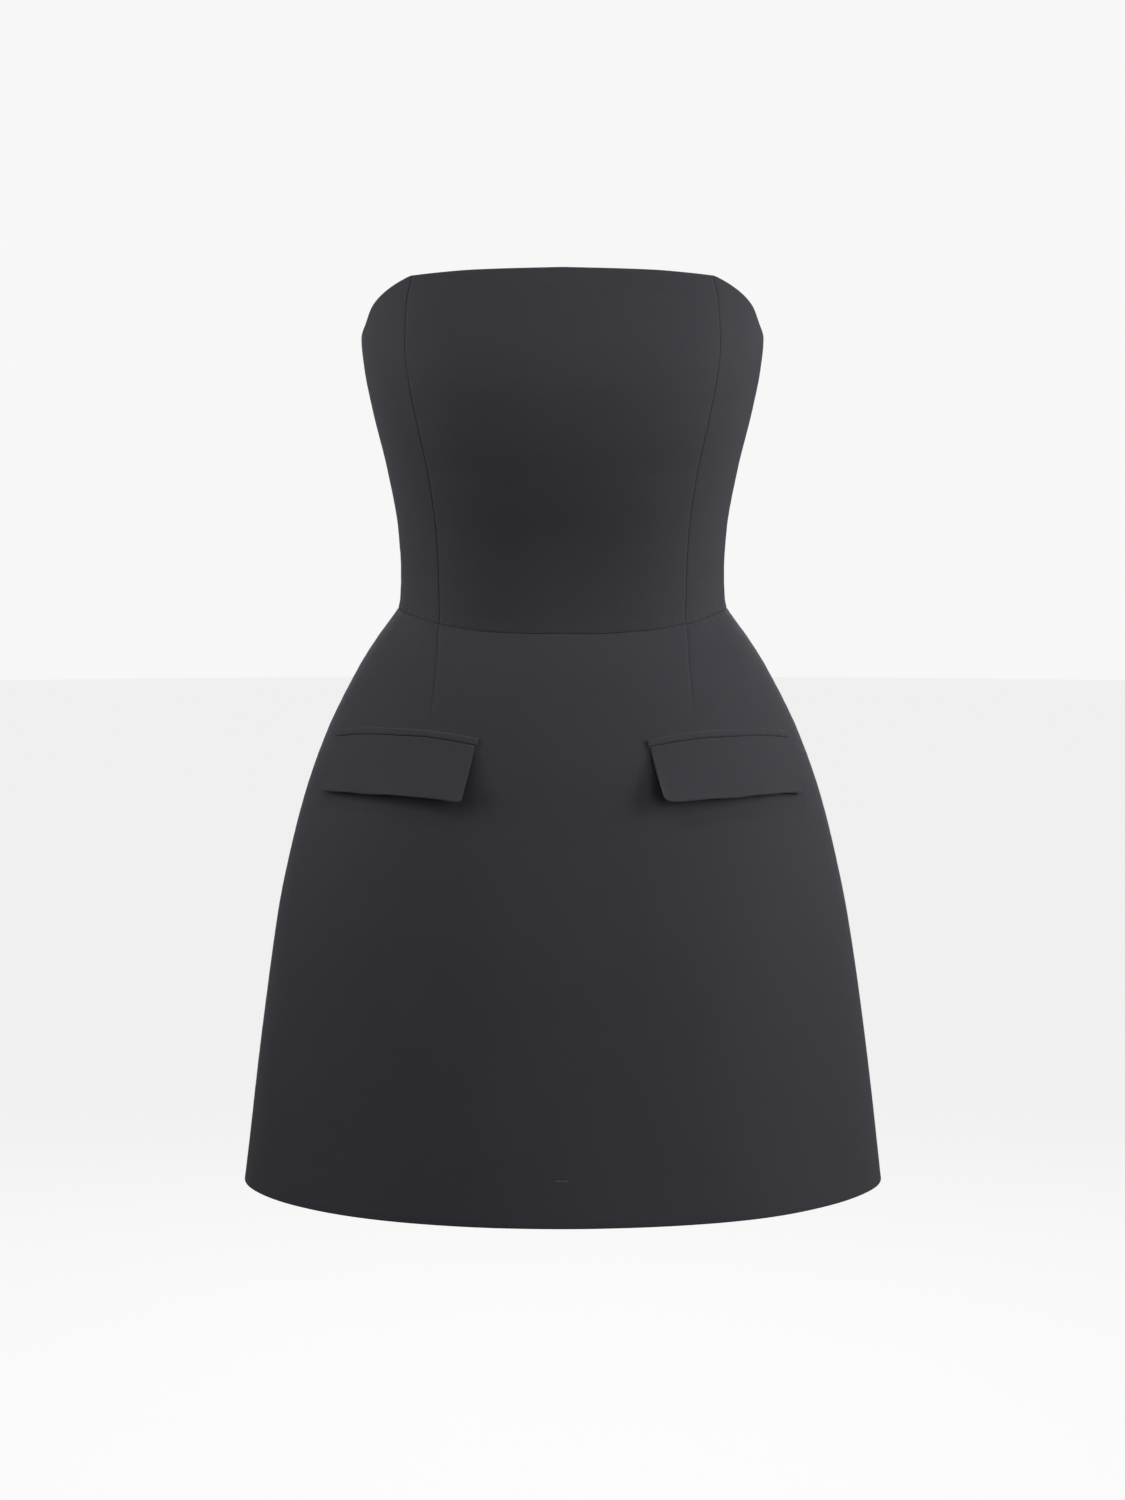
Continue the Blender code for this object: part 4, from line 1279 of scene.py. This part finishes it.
def woven_cloth_group():
    """A plain weave along the cloth's own threads, with flecks and a faint haze of colour."""
    tree = bpy.data.node_groups.new("woven_cloth", "ShaderNodeTree")
    spacing = tree.interface.new_socket("Thread Spacing", in_out="INPUT", socket_type="NodeSocketFloat")
    spacing.default_value = 0.0005
    uneven = tree.interface.new_socket("Unevenness", in_out="INPUT", socket_type="NodeSocketFloat")
    uneven.default_value = 0.3
    for name in ("Height", "Fleck", "Haze"):
        tree.interface.new_socket(name, in_out="OUTPUT", socket_type="NodeSocketFloat")
    given = add_node(tree, "NodeGroupInput", (-1400, 0))
    threads = add_node(tree, "ShaderNodeUVMap", (-1400, -200), uv_map="threads")
    per_metre = add_node(tree, "ShaderNodeMath", (-1200, 0), {0: 1.0, 1: given.outputs[0]},
                         operation="DIVIDE")
    wander = add_node(tree, "ShaderNodeTexNoise", (-1200, -400),
                      {"Vector": threads.outputs[0], "Scale": 420.0, "Detail": 1.0})
    centred = add_node(tree, "ShaderNodeVectorMath", (-1000, -400),
                       {0: wander.outputs["Color"], 1: (0.5, 0.5, 0.5)}, operation="SUBTRACT")
    moved = add_node(tree, "ShaderNodeVectorMath", (-800, -400),
                     {0: centred.outputs[0], "Scale": given.outputs[1]}, operation="SCALE")
    counted = add_node(tree, "ShaderNodeVectorMath", (-1000, -150),
                       {0: threads.outputs[0], "Scale": per_metre.outputs[0]}, operation="SCALE")
    place = add_node(tree, "ShaderNodeVectorMath", (-650, -150), {0: counted.outputs[0], 1: moved.outputs[0]})
    parts = add_node(tree, "ShaderNodeSeparateXYZ", (-500, -150), {0: place.outputs[0]})
    crowns, numbers = [], []
    for axis in (0, 1):
        within = add_node(tree, "ShaderNodeMath", (-350, -200 * axis), {0: parts.outputs[axis]},
                          operation="FRACT")
        turn = add_node(tree, "ShaderNodeMath", (-200, -200 * axis), {0: within.outputs[0], 1: math.pi},
                        operation="MULTIPLY")
        crowns.append(add_node(tree, "ShaderNodeMath", (-50, -200 * axis), {0: turn.outputs[0]},
                               operation="SINE"))
        numbers.append(add_node(tree, "ShaderNodeMath", (-350, -500 - 200 * axis), {0: parts.outputs[axis]},
                                operation="FLOOR"))
    both = add_node(tree, "ShaderNodeMath", (-150, -600),
                    {0: numbers[0].outputs[0], 1: numbers[1].outputs[0]})
    over = add_node(tree, "ShaderNodeMath", (0, -600), {0: both.outputs[0], 1: 2.0},
                    operation="FLOORED_MODULO")
    height = add_node(tree, "ShaderNodeMix", (200, -100),
                      {0: over.outputs[0], 2: crowns[0].outputs[0], 3: crowns[1].outputs[0]},
                      data_type="FLOAT")
    fibres = add_node(tree, "ShaderNodeMapping", (-1200, -800),
                      {"Vector": threads.outputs[0], "Scale": (900.0, 380.0, 1.0)})
    fleck = add_node(tree, "ShaderNodeTexNoise", (-1000, -800),
                     {"Vector": fibres.outputs[0], "Scale": 1.0, "Detail": 3.0, "Roughness": 0.6})
    sharper = add_node(tree, "ShaderNodeMapRange", (-800, -800),
                       {0: fleck.outputs[0], 1: 0.35, 2: 0.70, 3: 0.0, 4: 1.0})
    haze = add_node(tree, "ShaderNodeTexNoise", (-1000, -1100),
                    {"Vector": threads.outputs[0], "Scale": 16.0, "Detail": 2.0})
    result = add_node(tree, "NodeGroupOutput", (500, -200))
    for socket, source in zip(result.inputs, (height.outputs[0], sharper.outputs[0], haze.outputs[0])):
        tree.links.new(source, socket)
    return tree


def plain_material(name, colour, roughness, metallic=0.0):
    """A material with these values on its own shader, whose fine finish is added to it."""
    made = bpy.data.materials.new(name)
    made.use_nodes = True
    shader = made.node_tree.nodes["Principled BSDF"]
    shader.inputs["Base Color"].default_value = (*colour, 1.0)
    shader.inputs["Roughness"].default_value = roughness
    shader.inputs["Metallic"].default_value = metallic
    made.diffuse_color = (*colour, 1.0)
    return made, made.node_tree, shader


def woven(tree, weave, spacing, uneven):
    """Places the shared weave in a material, with this material's own values."""
    return add_node(tree, "ShaderNodeGroup", (-900, 0), {0: spacing, 1: uneven}, node_tree=weave)


def suiting(weave, finish):
    """Matte charcoal cloth with a soft nap, a touch smoother where a seam is pressed into it."""
    made, tree, shader = plain_material("charcoal_suiting", finish.charcoal, 0.80)
    cloth = woven(tree, weave, finish.weave_pitch, 0.35)
    amount = add_node(tree, "ShaderNodeMath", (-700, 300), {0: cloth.outputs["Fleck"], 1: 0.55},
                      operation="MULTIPLY")
    flecked = add_node(tree, "ShaderNodeMix", (-500, 300),
                       {0: amount.outputs[0], 6: (*finish.charcoal, 1.0), 7: (*finish.charcoal_fleck, 1.0)},
                       data_type="RGBA")
    hazed = add_node(tree, "ShaderNodeMix", (-300, 300),
                     {0: cloth.outputs["Haze"], 6: flecked.outputs[2], 7: (0.90, 0.90, 0.92, 1.0)},
                     data_type="RGBA", blend_type="MULTIPLY")
    tree.links.new(hazed.outputs[2], shader.inputs["Base Color"])
    pressed = add_node(tree, "ShaderNodeAttribute", (-700, -300), attribute_name="pressed")
    smoother = add_node(tree, "ShaderNodeMapRange", (-500, -300),
                        {0: pressed.outputs["Fac"], 3: 0.81, 4: 0.80})
    tree.links.new(smoother.outputs[0], shader.inputs["Roughness"])
    bump = add_node(tree, "ShaderNodeBump", (-300, -100),
                    {"Strength": 0.35, "Distance": 0.00012, "Height": cloth.outputs["Height"]})
    tree.links.new(bump.outputs[0], shader.inputs["Normal"])
    shader.inputs["Specular IOR Level"].default_value = 0.22
    shader.inputs["Sheen Weight"].default_value = 0.22
    shader.inputs["Sheen Roughness"].default_value = 0.42
    shader.inputs["Sheen Tint"].default_value = (0.70, 0.70, 0.76, 1.0)
    return made


def zip_tape(weave, finish):
    """Woven polyester tape, and the nylon coil sewn along it."""
    made, tree, shader = plain_material("zip_tape", finish.tape_black, 0.70)
    cloth = woven(tree, weave, 0.0007, 0.15)
    bump = add_node(tree, "ShaderNodeBump", (-300, -100),
                    {"Strength": 0.6, "Distance": 0.0002, "Height": cloth.outputs["Height"]})
    tree.links.new(bump.outputs[0], shader.inputs["Normal"])
    coil, tree, shader = plain_material("zip_coil", finish.tape_black, 0.38)
    grain = add_node(tree, "ShaderNodeTexNoise", (-500, 0), {"Scale": 2500.0, "Detail": 1.0})
    rough = add_node(tree, "ShaderNodeMapRange", (-300, 0), {0: grain.outputs[0], 3: 0.32, 4: 0.48})
    tree.links.new(rough.outputs[0], shader.inputs["Roughness"])
    return made, coil


def black_enamel(finish):
    """Painted metal, worn a little unevenly."""
    made, tree, shader = plain_material("black_enamel", finish.metal_black, 0.34, 0.6)
    grain = add_node(tree, "ShaderNodeTexNoise", (-700, 0), {"Scale": 900.0, "Detail": 3.0})
    rough = add_node(tree, "ShaderNodeMapRange", (-500, 0), {0: grain.outputs[0], 3: 0.28, 4: 0.46})
    tree.links.new(rough.outputs[0], shader.inputs["Roughness"])
    bump = add_node(tree, "ShaderNodeBump", (-300, -200),
                    {"Strength": 0.15, "Distance": 0.00005, "Height": grain.outputs[0]})
    tree.links.new(bump.outputs[0], shader.inputs["Normal"])
    return made


def thread(name, colour):
    """Sewing thread with the turn of its two plies."""
    made, tree, shader = plain_material(name, colour, 0.62)
    place = add_node(tree, "ShaderNodeTexCoord", (-700, 0))
    plies = add_node(tree, "ShaderNodeTexWave", (-500, 0),
                     {"Vector": place.outputs["Object"], "Scale": 900.0, "Distortion": 1.0},
                     bands_direction="DIAGONAL")
    bump = add_node(tree, "ShaderNodeBump", (-300, -100),
                    {"Strength": 0.5, "Distance": 0.0001, "Height": plies.outputs["Fac"]})
    tree.links.new(bump.outputs[0], shader.inputs["Normal"])
    return made


def softbox(name, place, target, width, height, watts, colour=(1.0, 1.0, 1.0)):
    """A soft rectangular light that looks at a point."""
    light = bpy.data.lights.new(name, "AREA")
    light.shape = "RECTANGLE"
    light.size, light.size_y = width, height
    light.energy = watts
    light.color = colour
    lamp = bpy.data.objects.new(name, light)
    lamp.location = place
    lamp.rotation_euler = (Vector(target) - Vector(place)).to_track_quat("-Z", "Y").to_euler()
    lamp.visible_camera = False
    bpy.context.scene.collection.objects.link(lamp)
    return lamp


class DRESS_OT_stage(Operator):
    """Make the pale floor, the soft lights and the camera."""

    bl_idname = "dress.stage"
    bl_label = "Stage"

    def execute(self, context):
        look = context.scene.dress_stage
        self.floor(look)
        self.surroundings(context, look)
        softbox("left_softbox", (-1.55, -0.55, 0.45), (0.0, 0.0, 0.05), 0.5, 1.1, look.left_watts)
        softbox("right_softbox", (1.55, -0.55, 0.45), (0.0, 0.0, 0.05), 0.5, 1.1, look.right_watts)
        softbox("front_softbox", (1.3, -2.0, 0.3), (0.0, 0.0, -0.10), 0.8, 1.2, look.front_watts)
        softbox("high_softbox", (-1.1, -1.3, 1.6), (0.0, 0.0, 0.10), 0.9, 0.7, look.high_watts)
        softbox("rear_softbox", (0.0, 2.3, 0.9), (0.0, 0.0, 0.0), 1.6, 1.2, look.rear_watts)
        narrow = (
            ("left_rim_light", (-1.1, 0.22, 0.22), (-0.13, 0.0, 0.13), 0.25, 0.35, look.rim_watts, 50),
            ("right_rim_light", (1.1, 0.22, 0.22), (0.13, 0.0, 0.13), 0.25, 0.35, look.rim_watts, 50),
            ("bust_light", (0.0, -1.0, 1.9), (0.0, -0.10, 0.23), 0.5, 0.3, look.bust_watts, 34),
        )
        for *given, spread in narrow:
            softbox(*given).data.spread = math.radians(spread)
        camera = bpy.data.cameras.new("photo_camera")
        camera.lens = look.camera_lens
        camera.sensor_width = 36.0
        seen = bpy.data.objects.new("photo_camera", camera)
        seen.location = (0.0, -look.camera_distance, look.camera_height)
        seen.rotation_euler = (math.radians(90) - look.camera_tilt, 0.0, 0.0)
        context.scene.collection.objects.link(seen)
        context.scene.camera = seen
        context.scene.view_settings.view_transform = "Standard"
        return {"FINISHED"}

    def floor(self, look):
        disc = bmesh.new()
        bmesh.ops.create_circle(disc, cap_ends=True, radius=14.0, segments=96)
        mesh = bpy.data.meshes.new("studio_floor")
        disc.to_mesh(mesh)
        disc.free()
        floor = bpy.data.objects.new("studio_floor", mesh)
        floor.location.z = look.floor_height
        bpy.context.scene.collection.objects.link(floor)
        made, tree, shader = plain_material("pale_floor", (0.12, 0.12, 0.12), 0.9)
        shader.inputs["Specular IOR Level"].default_value = 0.1
        shader.inputs["Emission Color"].default_value = (*look.floor_colour, 1.0)
        seen = add_node(tree, "ShaderNodeLightPath", (-500, -300))
        glow = add_node(tree, "ShaderNodeMath", (-300, -300), {0: seen.outputs["Is Camera Ray"], 1: 0.93},
                        operation="MULTIPLY")
        tree.links.new(glow.outputs[0], shader.inputs["Emission Strength"])
        mesh.materials.append(made)
        floor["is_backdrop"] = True

    def surroundings(self, context, look):
        """Pale surroundings, which light the dress less than they look."""
        world = bpy.data.worlds.new("studio")
        world.use_nodes = True
        tree = world.node_tree
        background = tree.nodes["Background"]
        background.inputs["Color"].default_value = (*look.floor_colour, 1.0)
        seen = add_node(tree, "ShaderNodeLightPath", (-600, 0))
        strength = add_node(tree, "ShaderNodeMapRange", (-300, 0),
                            {0: seen.outputs["Is Camera Ray"], 3: look.surround, 4: 1.0})
        tree.links.new(strength.outputs[0], background.inputs["Strength"])
        context.scene.world = world


class DRESS_PT_dress(Panel):
    """Lists the dress's steps and sizes."""

    bl_label = "Strapless Dress"
    bl_idname = "DRESS_PT_dress"
    bl_space_type = "VIEW_3D"
    bl_region_type = "UI"
    bl_category = "Dress"

    def draw(self, context):
        for step in STEPS:
            self.layout.operator(step.bl_idname)
        for group in (context.scene.dress_sizes, context.scene.dress_finish, context.scene.dress_stage):
            box = self.layout.box()
            for name in group.bl_rna.properties.keys():
                if name not in ("rna_type", "name"):
                    box.prop(group, name)


STEPS = (
    DRESS_OT_finishes,
    DRESS_OT_bodice,
    DRESS_OT_skirt,
    DRESS_OT_pocket_welts,
    DRESS_OT_pocket_flaps,
    DRESS_OT_zip_tapes,
    DRESS_OT_zip_slider,
    DRESS_OT_seam_threads,
    DRESS_OT_hem_stitches,
    DRESS_OT_stage,
)
CLASSES = (DressSizes, DressFinish, StageLook, *STEPS, DRESS_PT_dress)


def register():
    for kind in CLASSES:
        bpy.utils.register_class(kind)
    bpy.types.Scene.dress_sizes = PointerProperty(type=DressSizes)
    bpy.types.Scene.dress_finish = PointerProperty(type=DressFinish)
    bpy.types.Scene.dress_stage = PointerProperty(type=StageLook)


def unregister():
    for name in ("dress_sizes", "dress_finish", "dress_stage"):
        delattr(bpy.types.Scene, name)
    for kind in reversed(CLASSES):
        bpy.utils.unregister_class(kind)


def main():
    register()
    for step in STEPS:
        area, name = step.bl_idname.split(".")
        getattr(getattr(bpy.ops, area), name)()
    boxes = {"cad": solid_box, "visual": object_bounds()}
    {name: [list(corner) for corner in box] for name, box in boxes.items()}


if __name__ == "__main__":
    main()
